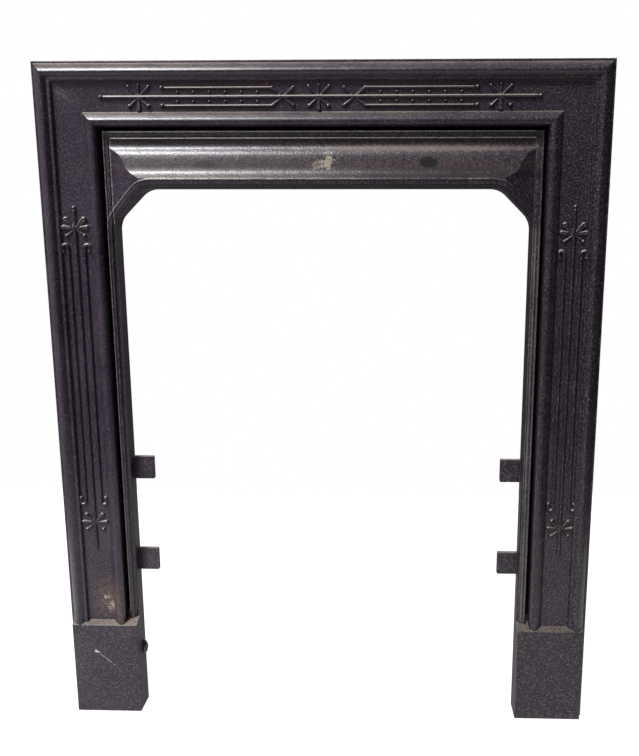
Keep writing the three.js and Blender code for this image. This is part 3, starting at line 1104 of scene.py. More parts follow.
LINTEL_FLOWER = Flower(
    sides=(
        Petal(11.6, 11.2, 1.3, 2.2, 3.4, groove=0.7),
        Ball(13.3, 12.9, 2.5, 4.0),
        Petal(9.6, -9.4, 1.4, 2.3, 3.4, groove=0.6),
        Ball(12.3, -11.6, 3.0, 4.2),
    ),
    middle=(
        Petal(0.0, 14.8, 1.1, 2.2, 3.4, groove=0.6),
        Petal(0.0, -16.0, 1.7, 3.2, 4.0, groove=0.9),
        Ball(0.0, 0.0, 3.0, 3.3),
    ),
)
TOP_FLOWER = Flower(
    sides=(
        Petal(12.4, 12.2, 1.9, 4.3, 4.8, groove=1.0, cup=1.0),
        Petal(16.2, 1.9, 1.8, 3.9, 4.4, groove=0.7, root_up=0.6),
        Petal(10.0, -7.4, 1.1, 1.8, 2.8),
        Ball(12.2, -9.2, 2.7, 4.0),
    ),
    middle=(Ball(0.0, 0.0, 3.0, 3.4),),
)
BOTTOM_FLOWER = Flower(
    sides=(
        Petal(11.6, 12.4, 1.7, 3.6, 4.4, groove=0.8, cup=0.8),
        Petal(16.6, 1.8, 1.5, 3.2, 4.0, groove=0.6, root_up=0.6),
        Petal(9.6, -7.6, 1.1, 1.8, 2.8),
        Ball(12.0, -9.4, 2.6, 3.8),
    ),
    middle=(Ball(0.0, 0.0, 3.0, 3.4),),
)


@dataclass
class Ornament:
    """Sizes that the lintel's and the jambs' ornament share."""

    frame: FrameMoulding
    pitch: float = 0.62
    stem_radius: float = 2.5
    stem_height: float = 3.7
    ball_radius: float = 2.9
    ball_height: float = 4.4
    smooth_degrees: float = 60.0

    def stem(self, field_: ReliefField, start: Point, end: Point) -> None:
        """Raises one stem.

        Args:
            field_: The panel's field.
            start: Its start.
            end: Its end.
        """
        radii = (self.stem_radius, self.stem_radius)
        field_.ridge(start, end, radii, (self.stem_height, self.stem_height))

    def finished(self, field_: ReliefField, name: str) -> bpy.types.Object:
        """Turns the raised field into a smoothly shaded solid.

        Args:
            field_: The panel's field.
            name: Name of the new object.

        Returns:
            The ornament as one solid.
        """
        ornament = field_.solid(name, self.frame.panel_depth)
        shade(ornament, self.smooth_degrees)
        return ornament


@dataclass
class LintelOrnament(Ornament):
    """The stem, flowers, crosses, side lines and dots on the lintel's panel."""

    stem_end_inset: float = 93.5
    outer_flower_inset: float = 144.3
    side_line_inset: float = 175.0
    side_line_offset: float = 11.2
    side_line_radius: float = 1.9
    side_line_height: float = 3.3
    cross_x: float = 47.1
    cross_arm: float = 13.8
    dot_count: int = 6
    dot_start: float = 80.5
    dot_pitch: float = 21.05
    dot_offset: float = 5.8
    dot_radius: float = 2.1
    dot_height: float = 3.0
    line_gap: float = 4.6
    middle_x: float = -2.6
    side_room: float = 0.8
    end_room: float = 5.0

    @property
    def cross(self) -> Flower:
        """The cross at which the side lines end.

        Returns:
            The cross, as a flower of grooved petals.
        """
        offset = self.side_line_offset
        petals = (
            Petal(self.cross_arm, up * offset, root=1.5, tip=2.6, height=3.6, groove=0.8) for up in (-1, 1)
        )
        return Flower(tuple(petals))

    def build(self) -> bpy.types.Object:
        """Raises the whole ornament.

        Returns:
            The ornament as one solid.
        """
        z, middle = HEIGHT - self.frame.panel_centre, self.middle_x
        stem_end = HALF - self.stem_end_inset
        room, reach = self.end_room, self.frame.panel_width / 2 + self.side_room
        low, high = (middle - stem_end - room, z - reach), (middle + stem_end + room, z + reach)
        field_ = ReliefField(low, high, self.pitch)
        line_end = stem_end - self.line_gap
        self.stem(field_, (middle - line_end, z), (middle + line_end, z))
        LINTEL_FLOWER.rise(field_, middle, z)
        for side in (-1, 1):
            field_.ball((middle + side * stem_end, z), self.ball_radius, self.ball_height)
            LINTEL_FLOWER.rise(field_, middle + side * (HALF - self.outer_flower_inset), z)
            self.cross.rise(field_, middle + side * self.cross_x, z)
            for up in (-1, 1):
                self.side_line(field_, side, z, up)
        return self.finished(field_, "lintel_ornament")

    def side_line(self, field_: ReliefField, side: int, z: float, up: int) -> None:
        """Raises one side line with its end ball and its row of dots.

        Args:
            field_: The panel's field.
            side: -1 for the left half, 1 for the right.
            z: Height of the panel's middle.
            up: 1 for the upper line, -1 for the lower.
        """
        line_z = z + up * self.side_line_offset
        near = self.middle_x + side * (self.cross_x + self.cross_arm)
        far = self.middle_x + side * (HALF - self.side_line_inset)
        radii = (self.side_line_radius, self.side_line_radius)
        heights = (self.side_line_height, self.side_line_height)
        field_.ridge((near, line_z), (far - side * self.line_gap, line_z), radii, heights)
        field_.ball((far, line_z), self.ball_radius, self.ball_height)
        for dot in range(self.dot_count):
            x = self.middle_x + side * (self.dot_start + dot * self.dot_pitch)
            field_.ball((x, z + up * self.dot_offset), self.dot_radius, self.dot_height)


@dataclass
class JambOrnament(Ornament):
    """The three stems with hooked ends and the two flowers on one jamb's panel."""

    plinth_height: float = 140.0
    stem_pitch: float = 11.2
    top_flower_drop: float = 216.3
    tip_rise: float = 28.0
    tip_gap: float = 4.4
    top_hook_drop: float = 25.2
    bottom_flower_rise: float = 157.0
    tail: Petal = Petal(0.0, -35.0, 2.0, 3.2, 4.2, groove=0.6, root_up=-8.0)
    tail_drop: float = 38.0
    bottom_hook_rise: float = 33.0
    hook_radius: float = 4.2
    hook_steps: int = 12
    hook_height: float = 4.0
    hook_close: Point = (0.6, 3.0)
    hook_ball: Ball = Ball(-1.6, -5.4, 2.9, 3.9)
    outward: float = 0.6
    side_room: float = 1.6
    end_room: Point = (4.0, 5.0)
    right_outward: float = 1.2
    right_flower_lower: float = 6.6
    right_tip_higher: float = 8.0
    right_hook_lower: float = 0.9
    right_foot_lower: float = 2.0

    def hook(self, field_: ReliefField, stem_x: float, z: float, outward: int, upward: int) -> None:
        """Raises a stem end that turns outward in a half circle and closes on a ball.

        Args:
            field_: The panel's field.
            stem_x: The stem's middle.
            z: Height at which the turn starts.
            outward: Side to which it turns.
            upward: 1 at a stem's top, -1 at its foot.
        """
        middle = stem_x + outward * self.hook_radius
        points = []
        for step in range(self.hook_steps + 1):
            angle = math.pi * step / self.hook_steps
            x = middle - outward * self.hook_radius * math.cos(angle)
            points.append((x, z + upward * self.hook_radius * math.sin(angle)))
        points.append((points[-1][0] - outward * self.hook_close[0], z - upward * self.hook_close[1]))
        radii, heights = (self.stem_radius, self.stem_radius), (self.hook_height, self.hook_height)
        for start, end in zip(points, points[1:]):
            field_.ridge(start, end, radii, heights)
        ball = self.hook_ball
        ball_x = middle + outward * (self.hook_radius + ball.across)
        field_.ball((ball_x, z + upward * ball.up), ball.radius, ball.height)

    def build(self, side: int) -> bpy.types.Object:
        """Raises one jamb's ornament.

        Args:
            side: -1 for the left jamb, 1 for the right one.

        Returns:
            The ornament as one solid.
        """
        right = side > 0
        x = side * (HALF - self.frame.panel_centre + self.outward + right * self.right_outward)
        top_z = HEIGHT - self.top_flower_drop - right * self.right_flower_lower
        bottom_z = self.plinth_height + self.bottom_flower_rise - right * self.right_foot_lower
        low, high = bottom_z - self.tail_drop, top_z + self.tip_rise + right * self.right_tip_higher
        reach, below, above = self.frame.panel_width / 2 + self.side_room, *self.end_room
        field_ = ReliefField((x - reach, low - below), (x + reach, high + above), self.pitch)
        self.stem(field_, (x, low), (x, high - self.tip_gap))
        field_.ball((x, high), self.ball_radius, self.ball_height)
        hook_top = top_z - self.top_hook_drop - right * self.right_hook_lower
        hook_bottom = bottom_z + self.bottom_hook_rise
        for outward in (-1, 1):
            stem_x = x + outward * self.stem_pitch
            self.stem(field_, (stem_x, hook_bottom), (stem_x, hook_top))
            self.hook(field_, stem_x, hook_top, outward, 1)
            self.hook(field_, stem_x, hook_bottom, outward, -1)
        self.tail.rise(field_, x, bottom_z, 1)
        TOP_FLOWER.rise(field_, x, top_z)
        BOTTOM_FLOWER.rise(field_, x, bottom_z)
        return self.finished(field_, "left_jamb_ornament" if side < 0 else "right_jamb_ornament")


class Reckoning(Enum):
    """How two numbers of a material are worked into one."""

    PLUS = "ADD"
    LESS = "SUBTRACT"
    TIMES = "MULTIPLY"
    GREATER = "MAXIMUM"
    LESSER = "MINIMUM"
    SIZE = "ABSOLUTE"


class NodeSheet:
    """Adds shader nodes to a material or a world and links them."""

    def __init__(self, owner: bpy.types.Material | bpy.types.World) -> None:
        """Empties the owner's node tree.

        Args:
            owner: The material or world to fill.
        """
        owner.use_nodes = True
        self.tree = owner.node_tree
        self.tree.nodes.clear()

    def add(self, kind: str, **values: object) -> bpy.types.Node:
        """Adds a node and sets its values.

        Args:
            kind: Blender's name for the node.
            **values: Properties, or values of inputs with spaces as underscores.

        Returns:
            The node.
        """
        node = self.tree.nodes.new(kind)
        for key, value in values.items():
            if hasattr(node, key):
                setattr(node, key, value)
            else:
                node.inputs[key.replace("_", " ")].default_value = value
        return node

    def link(self, source: Socket, target: Socket) -> None:
        """Links an output to an input."""
        self.tree.links.new(source, target)

    def feed(self, target: Socket, value: Socket | float | tuple) -> None:
        """Links a socket to an input, or sets the input to a constant.

        Args:
            target: The input.
            value: A socket or a constant.
        """
        if isinstance(value, bpy.types.NodeSocket):
            self.link(value, target)
        else:
            target.default_value = value

    def noise(self, place: Socket, scale: float, detail: float, roughness: float) -> Socket:
        """Adds a noise texture.

        Args:
            place: The coordinates.
            scale: Features to the metre.
            detail: Its octaves.
            roughness: How strong the finer octaves are.

        Returns:
            Its value.
        """
        node = self.add("ShaderNodeTexNoise", Scale=scale, Detail=detail, Roughness=roughness)
        self.link(place, node.inputs["Vector"])
        return node.outputs["Fac"]

    def step(self, value: Socket, low: float, high: float, bottom: float = 0.0, top: float = 1.0) -> Socket:
        """Maps a value smoothly from one range to another.

        Args:
            value: The value.
            low: Start of its range.
            high: End of its range.
            bottom: Result at the start.
            top: Result at the end.

        Returns:
            The mapped value.
        """
        node = self.add("ShaderNodeMapRange", interpolation_type="SMOOTHSTEP")
        for socket, number in (("From Min", low), ("From Max", high), ("To Min", bottom), ("To Max", top)):
            node.inputs[socket].default_value = number
        self.link(value, node.inputs["Value"])
        return node.outputs["Result"]

    def reckon(self, kind: Reckoning, a: Socket | float, b: Socket | float = 0.0) -> Socket:
        """Works two numbers into one.

        Args:
            kind: How they are worked.
            a: First number.
            b: Second number.

        Returns:
            The result.
        """
        node = self.add("ShaderNodeMath", operation=kind.value)
        self.feed(node.inputs[0], a)
        self.feed(node.inputs[1], b)
        return node.outputs[0]

    def times(self, first: Socket, *others: Socket | float) -> Socket:
        """Multiplies numbers.

        Args:
            first: The first number.
            *others: What it is multiplied by.

        Returns:
            The product.
        """
        for other in others:
            first = self.reckon(Reckoning.TIMES, first, other)
        return first

    def greater(self, a: Socket, b: Socket) -> Socket:
        """Keeps the greater of two numbers."""
        return self.reckon(Reckoning.GREATER, a, b)

    def split(self, vector: Socket) -> bpy.types.bpy_prop_collection:
        """Parts a vector into its X, Y and Z.

        Args:
            vector: The vector.

        Returns:
            The three outputs.
        """
        node = self.add("ShaderNodeSeparateXYZ")
        self.link(vector, node.inputs[0])
        return node.outputs

    def along(self, vector: Socket, direction: Socket | Place) -> Socket:
        """Measures how far a vector goes along a direction.

        Args:
            vector: The vector.
            direction: The direction.

        Returns:
            The length along it.
        """
        node = self.add("ShaderNodeVectorMath", operation="DOT_PRODUCT")
        self.link(vector, node.inputs[0])
        self.feed(node.inputs[1], direction)
        return node.outputs["Value"]

    def tint(self, share: Socket, first: Socket | Colour, second: Socket | Colour) -> Socket:
        """Mixes two colours.

        Args:
            share: Share of the second colour.
            first: A colour or a socket.
            second: A colour or a socket.

        Returns:
            The mixed colour.
        """
        node = self.add("ShaderNodeMix", data_type="RGBA")
        self.link(share, node.inputs[0])
        for socket, value in ((node.inputs[6], first), (node.inputs[7], second)):
            self.feed(socket, (*value, 1.0) if isinstance(value, tuple) else value)
        return node.outputs[2]

    def bump(self, height: Socket, distance: float, strength: float, normal: Socket) -> Socket:
        """Adds a bump.

        Args:
            height: The height.
            distance: Depth of the bump, in metres.
            strength: Its strength.
            normal: The normal that it starts from.

        Returns:
            The new normal.
        """
        node = self.add("ShaderNodeBump", Distance=distance, Strength=strength)
        self.link(height, node.inputs["Height"])
        self.link(normal, node.inputs["Normal"])
        return node.outputs["Normal"]

    def finish(self, shader: bpy.types.Node) -> None:
        """Ties a material's shader to its output."""
        output = self.add("ShaderNodeOutputMaterial")
        self.link(shader.outputs["BSDF"], output.inputs["Surface"])


# The part of the ragged pattern that moves a mark's edge in and out
RAGGED_RANGE = (0.3, 0.7)


@dataclass(frozen=True)
class Mark:
    """One patch of wear, dirt, painted shade or painted highlight on the front: its middle, half sizes and
    look, in millimetres and degrees.
    """

    x: float
    z: float
    wide: float
    high: float
    colour: Colour
    strength: float = 1.0
    turn: float = 0.0
    ragged: float = 0.3
    blur: float = 0.15

    def share(self, sheet: NodeSheet, place: Socket, ragged: Socket) -> Socket:
        """Finds how far each point lies in the patch.

        Args:
            sheet: The material's nodes.
            place: Coordinates on the casting.
            ragged: The pattern that breaks up the patch's edge.

        Returns:
            The patch's share of the colour.
        """
        offset = sheet.add("ShaderNodeVectorMath", operation="SUBTRACT")
        sheet.link(place, offset.inputs[0])
        sheet.feed(offset.inputs[1], (self.x * MM, 0.0, self.z * MM))
        turned = sheet.add("ShaderNodeVectorRotate", rotation_type="Y_AXIS", Angle=math.radians(self.turn))
        sheet.link(offset.outputs[0], turned.inputs["Vector"])
        scaled = sheet.add("ShaderNodeVectorMath", operation="MULTIPLY")
        sheet.link(turned.outputs[0], scaled.inputs[0])
        sheet.feed(scaled.inputs[1], (1 / (self.wide * MM), 0.0, 1 / (self.high * MM)))
        away = sheet.add("ShaderNodeVectorMath", operation="LENGTH")
        sheet.link(scaled.outputs[0], away.inputs[0])
        rough = sheet.step(ragged, *RAGGED_RANGE, -self.ragged, self.ragged)
        edge = sheet.reckon(Reckoning.PLUS, away.outputs["Value"], rough)
        return sheet.step(edge, 1 - self.blur, 1 + self.blur, self.strength, 0.0)


CHALKY = (0.42, 0.38, 0.32)
RUSTY = (0.22, 0.13, 0.07)
WORN = (0.30, 0.26, 0.21)
# Near black, for tar stains and for painted shade on the hood
TAR_AND_SHADE = (0.004, 0.0035, 0.005)
BROWNED = (0.045, 0.033, 0.026)
RED_PAINT = (0.30, 0.02, 0.015)
# Pale, painted along the cove as a highlight
PAINTED_COVE_SHEEN = (0.14, 0.115, 0.10)

# Browned places, patches of wear and dark stains on the hood, a strip of painted shade along the right part
# of the flare, and a strip of painted highlight along the right part of the cove
HOOD_MARKS = (
    Mark(-60.0, 799.0, 190.0, 11.0, BROWNED, 0.5, ragged=0.9, blur=0.6),
    Mark(165.0, 801.0, 90.0, 11.0, BROWNED, 0.4, ragged=0.9, blur=0.6),
    Mark(9.5, 803.5, 5.0, 7.0, WORN, 0.65, -20.0, ragged=1.9, blur=0.4),
    Mark(-5.0, 800.0, 4.0, 4.0, WORN, 0.35, ragged=1.7, blur=0.4),
    Mark(141.0, 804.5, 12.0, 7.0, TAR_AND_SHADE, ragged=0.12, blur=0.12),
    Mark(-155.0, 800.5, 15.0, 6.5, TAR_AND_SHADE, 0.75, ragged=0.3, blur=0.3),
    # Painted shade along the right part of the flare, where its highlight fades
    Mark(150.0, 789.0, 132.0, 7.5, TAR_AND_SHADE, 0.8, ragged=0.3, blur=0.5),
    # Painted highlight along the right part of the cove
    Mark(115.0, 823.0, 150.0, 4.5, PAINTED_COVE_SHEEN, 0.55, ragged=0.3, blur=0.5),
)

# A fleck, nicks, a scratch, flaked spots and file marks on the frame and the left plinth
FRAME_MARKS = (
    Mark(-70.5, 904.0, 2.2, 1.6, RED_PAINT, ragged=0.3, blur=0.2),
    Mark(-341.5, 97.0, 4.0, 1.3, CHALKY, 0.9, -12.0, ragged=0.5, blur=0.2),
    Mark(-343.5, 100.0, 2.0, 1.0, CHALKY, 0.7, -50.0, ragged=0.4, blur=0.2),
    Mark(-329.0, 86.5, 16.0, 0.5, CHALKY, 0.4, -40.0, ragged=0.8, blur=0.5),
    Mark(-326.3, 180.0, 3.6, 3.0, WORN, 0.7, 30.0, ragged=1.8, blur=0.3),
    Mark(-319.5, 168.0, 5.0, 4.2, WORN, 0.75, -20.0, ragged=1.8, blur=0.3),
    Mark(-320.0, 178.0, 18.0, 24.0, RUSTY, 0.20, ragged=0.8, blur=0.9),
    Mark(-350.0, 903.0, 14.0, 0.9, CHALKY, 0.10, -32.0, ragged=1.2, blur=0.5),
    Mark(-346.0, 896.0, 12.0, 0.9, CHALKY, 0.09, -32.0, ragged=1.2, blur=0.5),
    Mark(-341.0, 890.0, 14.0, 1.0, CHALKY, 0.08, -32.0, ragged=1.2, blur=0.5),
)


@dataclass
class Surface:
    """The patterns that every layer of the finish reads."""

    sheet: NodeSheet
    place: Socket
    normal: Socket
    cloud: Socket
    grain: Socket
    # Painted shade that deepens towards the lower right
    painted_falloff_shade: Socket

    def fainter(self, share: float) -> Socket:
        """Falls from the whole to a share of it at the lower right corner, where the painted shade is
        deepest.
        """
        return self.sheet.step(self.painted_falloff_shade, 0.0, 1.0, 1.0, share)


@dataclass(frozen=True)
class BlackedIron:
    """Old black stove paint over a sand casting, dusty where it faces up, with painted shade and painted
    highlights.
    """

    # Colours of the layers
    paint: Colour = (0.015, 0.0080, 0.020)
    faded: Colour = (0.027, 0.018, 0.032)
    fleck: Colour = (0.17, 0.145, 0.14)
    # Near black for pits in the grain, and for the painted shade towards the lower right
    pit_and_shade: Colour = (0.004, 0.003, 0.005)
    # Near black painted as shade in the groove and on sideways faces
    shade_black: Colour = (0.0022, 0.0018, 0.0024)
    dust: Colour = (0.17, 0.135, 0.105)
    # Pale for edges that have lost their paint, and painted as highlights on edges and ornament that face the
    # key light
    bare_and_highlight: Colour = (0.40, 0.37, 0.34)
    # Pale painted as highlights on the bead crests
    bead_highlight: Colour = (0.66, 0.61, 0.58)

    # Features to the metre, octaves and roughness of each pattern
    cloud: Pattern = (14.0, 5.0, 0.6)
    grain: Pattern = (430.0, 3.0, 0.65)
    specks: Pattern = (950.0, 1.0, 0.5)
    ragged: Pattern = (210.0, 5.0, 0.7)
    swells: Pattern = (30.0, 2.0, 0.5)

    # Where a layer starts and is full, and its shares there
    fading: Ramp = (0.35, 0.7, 0.0, 1.0)
    pitting: Ramp = (0.34, 0.48, 0.9, 0.0)
    flecking: Ramp = (0.53, 0.68, 0.0, 0.36)
    specking: Ramp = (0.60, 0.74, 0.0, 0.4)
    settling: Ramp = (0.5, 0.98, 0.0, 1.0)
    patches: Ramp = (0.3, 0.62, 0.45, 1.0)
    bead_breaks: Ramp = (0.35, 0.6, 0.4, 1.0)
    # How far ornament faces turn towards the key light to get the painted highlight
    ornament_highlight_facing: Ramp = (0.72, 0.97, 0.0, 0.75)
    drying: Ramp = (0.5, 0.75, 0.0, 0.5)
    worn_turn: Ramp = (0.80, 0.98, 1.0, 0.0)
    # How far edges turn towards the key light to get the painted highlight
    edge_highlight_facing: Ramp = (0.25, 0.8, 0.0, 1.0)
    worn_patches: Ramp = (0.3, 0.65, 0.25, 0.8)
    # How far faces turn sideways to get painted shade
    shaded_sides: Ramp = (0.9, 0.98, 0.0, 0.6)
    front_only: Ramp = (-0.3, 0.0, 1.0, 0.0)

    # Strips round the frame, in millimetres from its outer edge and from the middle of its depth
    # The groove's strip is painted as shade; the ornament's strip and the bead crests get painted highlights
    groove_inset: Point = (82.6, 88.4)
    groove_depth: Point = (0.5, -3.6)
    ornament_inset: Point = (24.5, 64.5)
    ornament_depth: Point = (-10.0, -8.4)
    bead_insets: tuple[Point, Point] = ((88.4, 90.5), (96.6, 98.7))
    ledge_top: float = 158.0
    jamb_start: Point = (280.0, 283.0)
    jamb_share: float = 0.3

    # Painted shade: how the casting darkens towards the lower right, and by how much
    falloff_shade_towards: Place = (0.55, 0.0, -0.25)
    falloff_shade_range: Point = (-0.44, 0.17)
    falloff_shade_strength: float = 0.7

    # What is left of the painted bead and ornament highlights and of the gloss where the painted shade is
    # deepest
    darkest_bead: float = 0.2
    darkest_ornament: float = 0.45
    darkest_gloss: float = 0.7

    # Height of the bumps in metres, and their strength
    waves: Point = (0.002, 0.25)
    pits: Point = (0.00026, 0.9)

    # Edge wear with painted edge highlights, painted ornament highlights, gloss, and the gloss and roughness
    # of the painted shade
    ornament_highlight_towards: Place = (-0.30, -0.45, 0.84)
    edge_highlight_towards: Place = (-0.45, -0.25, 0.86)
    wear_width: float = 0.8
    wear_samples: int = 6
    gloss: float = 0.40
    shade_gloss: float = 0.03
    gloss_roughness: float = 0.30
    dusty_roughness: float = 0.62
    shade_roughness: float = 0.95

    def surface(self, sheet: NodeSheet) -> Surface:
        """Lays out the patterns that the layers share.

        Args:
            sheet: The material's nodes.

        Returns:
            The patterns.
        """
        place = sheet.add("ShaderNodeTexCoord").outputs["Object"]
        normal = sheet.add("ShaderNodeNewGeometry").outputs["Normal"]
        cloud = sheet.noise(place, *self.cloud)
        grain = sheet.noise(place, *self.grain)
        painted_falloff_shade = sheet.step(sheet.along(place, self.falloff_shade_towards), *self.falloff_shade_range)
        return Surface(sheet, place, normal, cloud, grain, painted_falloff_shade)

    def zone(self, surface: Surface, inset: Point, depth: Point | None = None) -> Socket:
        """Picks a strip that runs round the frame above the plinths.

        Args:
            surface: The finish's patterns.
            inset: Nearest and farthest distance from the outer edge.
            depth: Place in depth where the strip is full, and where it has faded away. None keeps it all.

        Returns:
            How far each point belongs to the strip.
        """
        sheet = surface.sheet
        axes = sheet.split(surface.place)
        aside = sheet.reckon(Reckoning.SIZE, axes["X"])
        side = sheet.reckon(Reckoning.LESS, HALF * MM, aside)
        inward = sheet.reckon(Reckoning.LESSER, side, sheet.reckon(Reckoning.LESS, HEIGHT * MM, axes["Z"]))
        first, last, ledge = inset[0] * MM, inset[1] * MM, self.ledge_top * MM
        starts = sheet.step(inward, first, first + MM)
        ends = sheet.step(inward, last - MM, last, 1.0, 0.0)
        within = sheet.times(starts, ends, sheet.step(axes["Z"], ledge, ledge + MM))
        if depth is None:
            return within
        return sheet.times(within, sheet.step(axes["Y"], depth[0] * MM, depth[1] * MM, 1.0, 0.0))

    def coat(self, surface: Surface, dust: Socket) -> Socket:
        """Lays the paint with its faded patches, dust, painted shade towards the lower right, pits and light
        flecks.

        Args:
            surface: The finish's patterns.
            dust: How dusty each point is.

        Returns:
            The colour of the coat.
        """
        sheet = surface.sheet
        speck = sheet.noise(surface.place, *self.specks)
        colour = sheet.tint(sheet.step(surface.cloud, *self.fading), self.paint, self.faded)
        colour = sheet.tint(dust, colour, self.dust)
        # Painted shade towards the lower right
        colour = sheet.tint(sheet.times(surface.painted_falloff_shade, self.falloff_shade_strength), colour, self.pit_and_shade)
        colour = sheet.tint(sheet.step(surface.grain, *self.pitting), colour, self.pit_and_shade)
        colour = sheet.tint(sheet.step(surface.grain, *self.flecking), colour, self.fleck)
        return sheet.tint(sheet.step(speck, *self.specking), colour, self.fleck)

    def worn_and_highlit(self, surface: Surface) -> tuple[Socket, Socket]:
        """Finds the edges that have lost their paint, painted light as highlights where they face the key
        light, and rounds them slightly.

        Args:
            surface: The finish's patterns.

        Returns:
            The rounded normal, and how far each point has lost its paint or is painted as a highlight.
        """
        sheet = surface.sheet
        edge = sheet.add("ShaderNodeBevel", samples=self.wear_samples, Radius=self.wear_width * MM)
        rounded = edge.outputs["Normal"]
        turned = sheet.step(sheet.along(rounded, surface.normal), *self.worn_turn)
        # Only edges that face the key light get the pale colour, as a painted highlight
        lit = sheet.step(sheet.along(rounded, self.edge_highlight_towards), *self.edge_highlight_facing)
        return rounded, sheet.times(turned, lit, sheet.step(surface.cloud, *self.worn_patches))

    def beads(self, surface: Surface) -> Socket:
        """Finds the two bead crests over the hood, painted bright as highlights, weaker on the jambs and
        towards the lower right.

        Args:
            surface: The finish's patterns.

        Returns:
            How bright each point is.
        """
        sheet = surface.sheet
        crest = sheet.greater(*(self.zone(surface, inset) for inset in self.bead_insets))
        aside = sheet.reckon(Reckoning.SIZE, sheet.split(surface.place)["X"])
        on_lintel = sheet.step(aside, *(edge * MM for edge in self.jamb_start), 1.0, self.jamb_share)
        broken = sheet.step(surface.grain, *self.bead_breaks)
        return sheet.times(crest, broken, surface.fainter(self.darkest_bead), on_lintel)

    def painted_ornament_highlight(self, surface: Surface) -> Socket:
        """Finds the sides of the ornament that face the key light, painted light as highlights, weaker
        towards the lower right.

        Args:
            surface: The finish's patterns.

        Returns:
            How light each point is.
        """
        sheet = surface.sheet
        within = self.zone(surface, self.ornament_inset, self.ornament_depth)
        lit = sheet.step(sheet.along(surface.normal, self.ornament_highlight_towards), *self.ornament_highlight_facing)
        return sheet.times(within, lit, surface.fainter(self.darkest_ornament))

    def groove_and_side_shade(self, surface: Surface) -> Socket:
        """Finds the bottom of the groove round the frame and the sideways faces, which are painted near black
        as shade.

        Args:
            surface: The finish's patterns.

        Returns:
            How far each point is painted as shade.
        """
        sheet = surface.sheet
        within = self.zone(surface, self.groove_inset, self.groove_depth)
        sideways = sheet.reckon(Reckoning.SIZE, sheet.split(surface.normal)["X"])
        return sheet.greater(within, sheet.step(sideways, *self.shaded_sides))

    def marked(self, surface: Surface, colour: Socket) -> Socket:
        """Paints the patches of wear, stains, nicks and flakes over the front, with the painted shade and
        painted highlight strips on the hood.

        Args:
            surface: The finish's patterns.
            colour: The finish's colour.

        Returns:
            The colour with the marks.
        """
        sheet = surface.sheet
        ragged = sheet.noise(surface.place, *self.ragged)
        front = sheet.step(sheet.split(surface.normal)["Y"], *self.front_only)
        for mark in HOOD_MARKS + FRAME_MARKS:
            share = mark.share(sheet, surface.place, ragged)
            colour = sheet.tint(sheet.times(share, front), colour, mark.colour)
        return colour

    def material(self) -> bpy.types.Material:
        """Makes the material from its layers.

        Returns:
            The finished material.
        """
        material = bpy.data.materials.new(SLOT)
        sheet = NodeSheet(material)
        surface = self.surface(sheet)
        settled = sheet.step(sheet.split(surface.normal)["Z"], *self.settling)
        dust = sheet.times(settled, sheet.step(surface.cloud, *self.patches))
        rounded, worn_and_highlit = self.worn_and_highlit(surface)
        groove_and_side_shade = self.groove_and_side_shade(surface)
        # Edges that have lost their paint, with painted highlights where they face the key light
        colour = sheet.tint(worn_and_highlit, self.coat(surface, dust), self.bare_and_highlight)
        # Painted highlights on the bead crests, then on the ornament faces towards the key light
        colour = sheet.tint(self.beads(surface), colour, self.bead_highlight)
        colour = sheet.tint(self.painted_ornament_highlight(surface), colour, self.bare_and_highlight)
        # Painted shade in the groove and on sideways faces
        colour = sheet.tint(groove_and_side_shade, self.marked(surface, colour), self.shade_black)
        dry = sheet.greater(dust, sheet.step(surface.grain, *self.drying))
        rough = sheet.step(dry, 0.0, 1.0, self.gloss_roughness, self.dusty_roughness)
        rough = sheet.greater(rough, sheet.times(groove_and_side_shade, self.shade_roughness))
        shine = sheet.step(groove_and_side_shade, 0.0, 1.0, self.gloss, self.shade_gloss)
        shine = sheet.times(shine, surface.fainter(self.darkest_gloss))
        waves = sheet.bump(sheet.noise(surface.place, *self.swells), *self.waves, rounded)
        shader = sheet.add("ShaderNodeBsdfPrincipled")
        sheet.link(colour, shader.inputs["Base Color"])
        sheet.link(shine, shader.inputs["Specular IOR Level"])
        sheet.link(rough, shader.inputs["Roughness"])
        sheet.link(sheet.bump(surface.grain, *self.pits, waves), shader.inputs["Normal"])
        sheet.finish(shader)
        return material


@dataclass(frozen=True)
class PaleFloor:
    """A plain matt floor that glows evenly, so that it shows nearly white."""

    colour: Colour = (0.14, 0.14, 0.14)
    roughness: float = 0.9
    glow: float = 0.93

    def material(self) -> bpy.types.Material:
        """Makes the material.

        Returns:
            The finished material.
        """
        material = bpy.data.materials.new("pale_floor")
        sheet = NodeSheet(material)
        shader = sheet.add("ShaderNodeBsdfPrincipled", Roughness=self.roughness, Emission_Strength=self.glow)
        shader.inputs["Base Color"].default_value = (*self.colour, 1.0)
        shader.inputs["Emission Color"].default_value = WHITE
        sheet.finish(shader)
        return material


@dataclass(frozen=True)
class Lamp:
    """One broad, far lamp that lights everything evenly."""

    name: str
    source: Place
    strength: float
    spread_degrees: float

    def hang(self) -> None:
        """Hangs the lamp and points it at the casting."""
        light = bpy.data.lights.new(self.name, "SUN")
        light.energy = self.strength
        light.angle = math.radians(self.spread_degrees)
        thing = bpy.data.objects.new(self.name, light)
        thing.location = self.source
        thing.rotation_euler = Vector(self.source).to_track_quat("Z", "Y").to_euler()
        bpy.context.scene.collection.objects.link(thing)


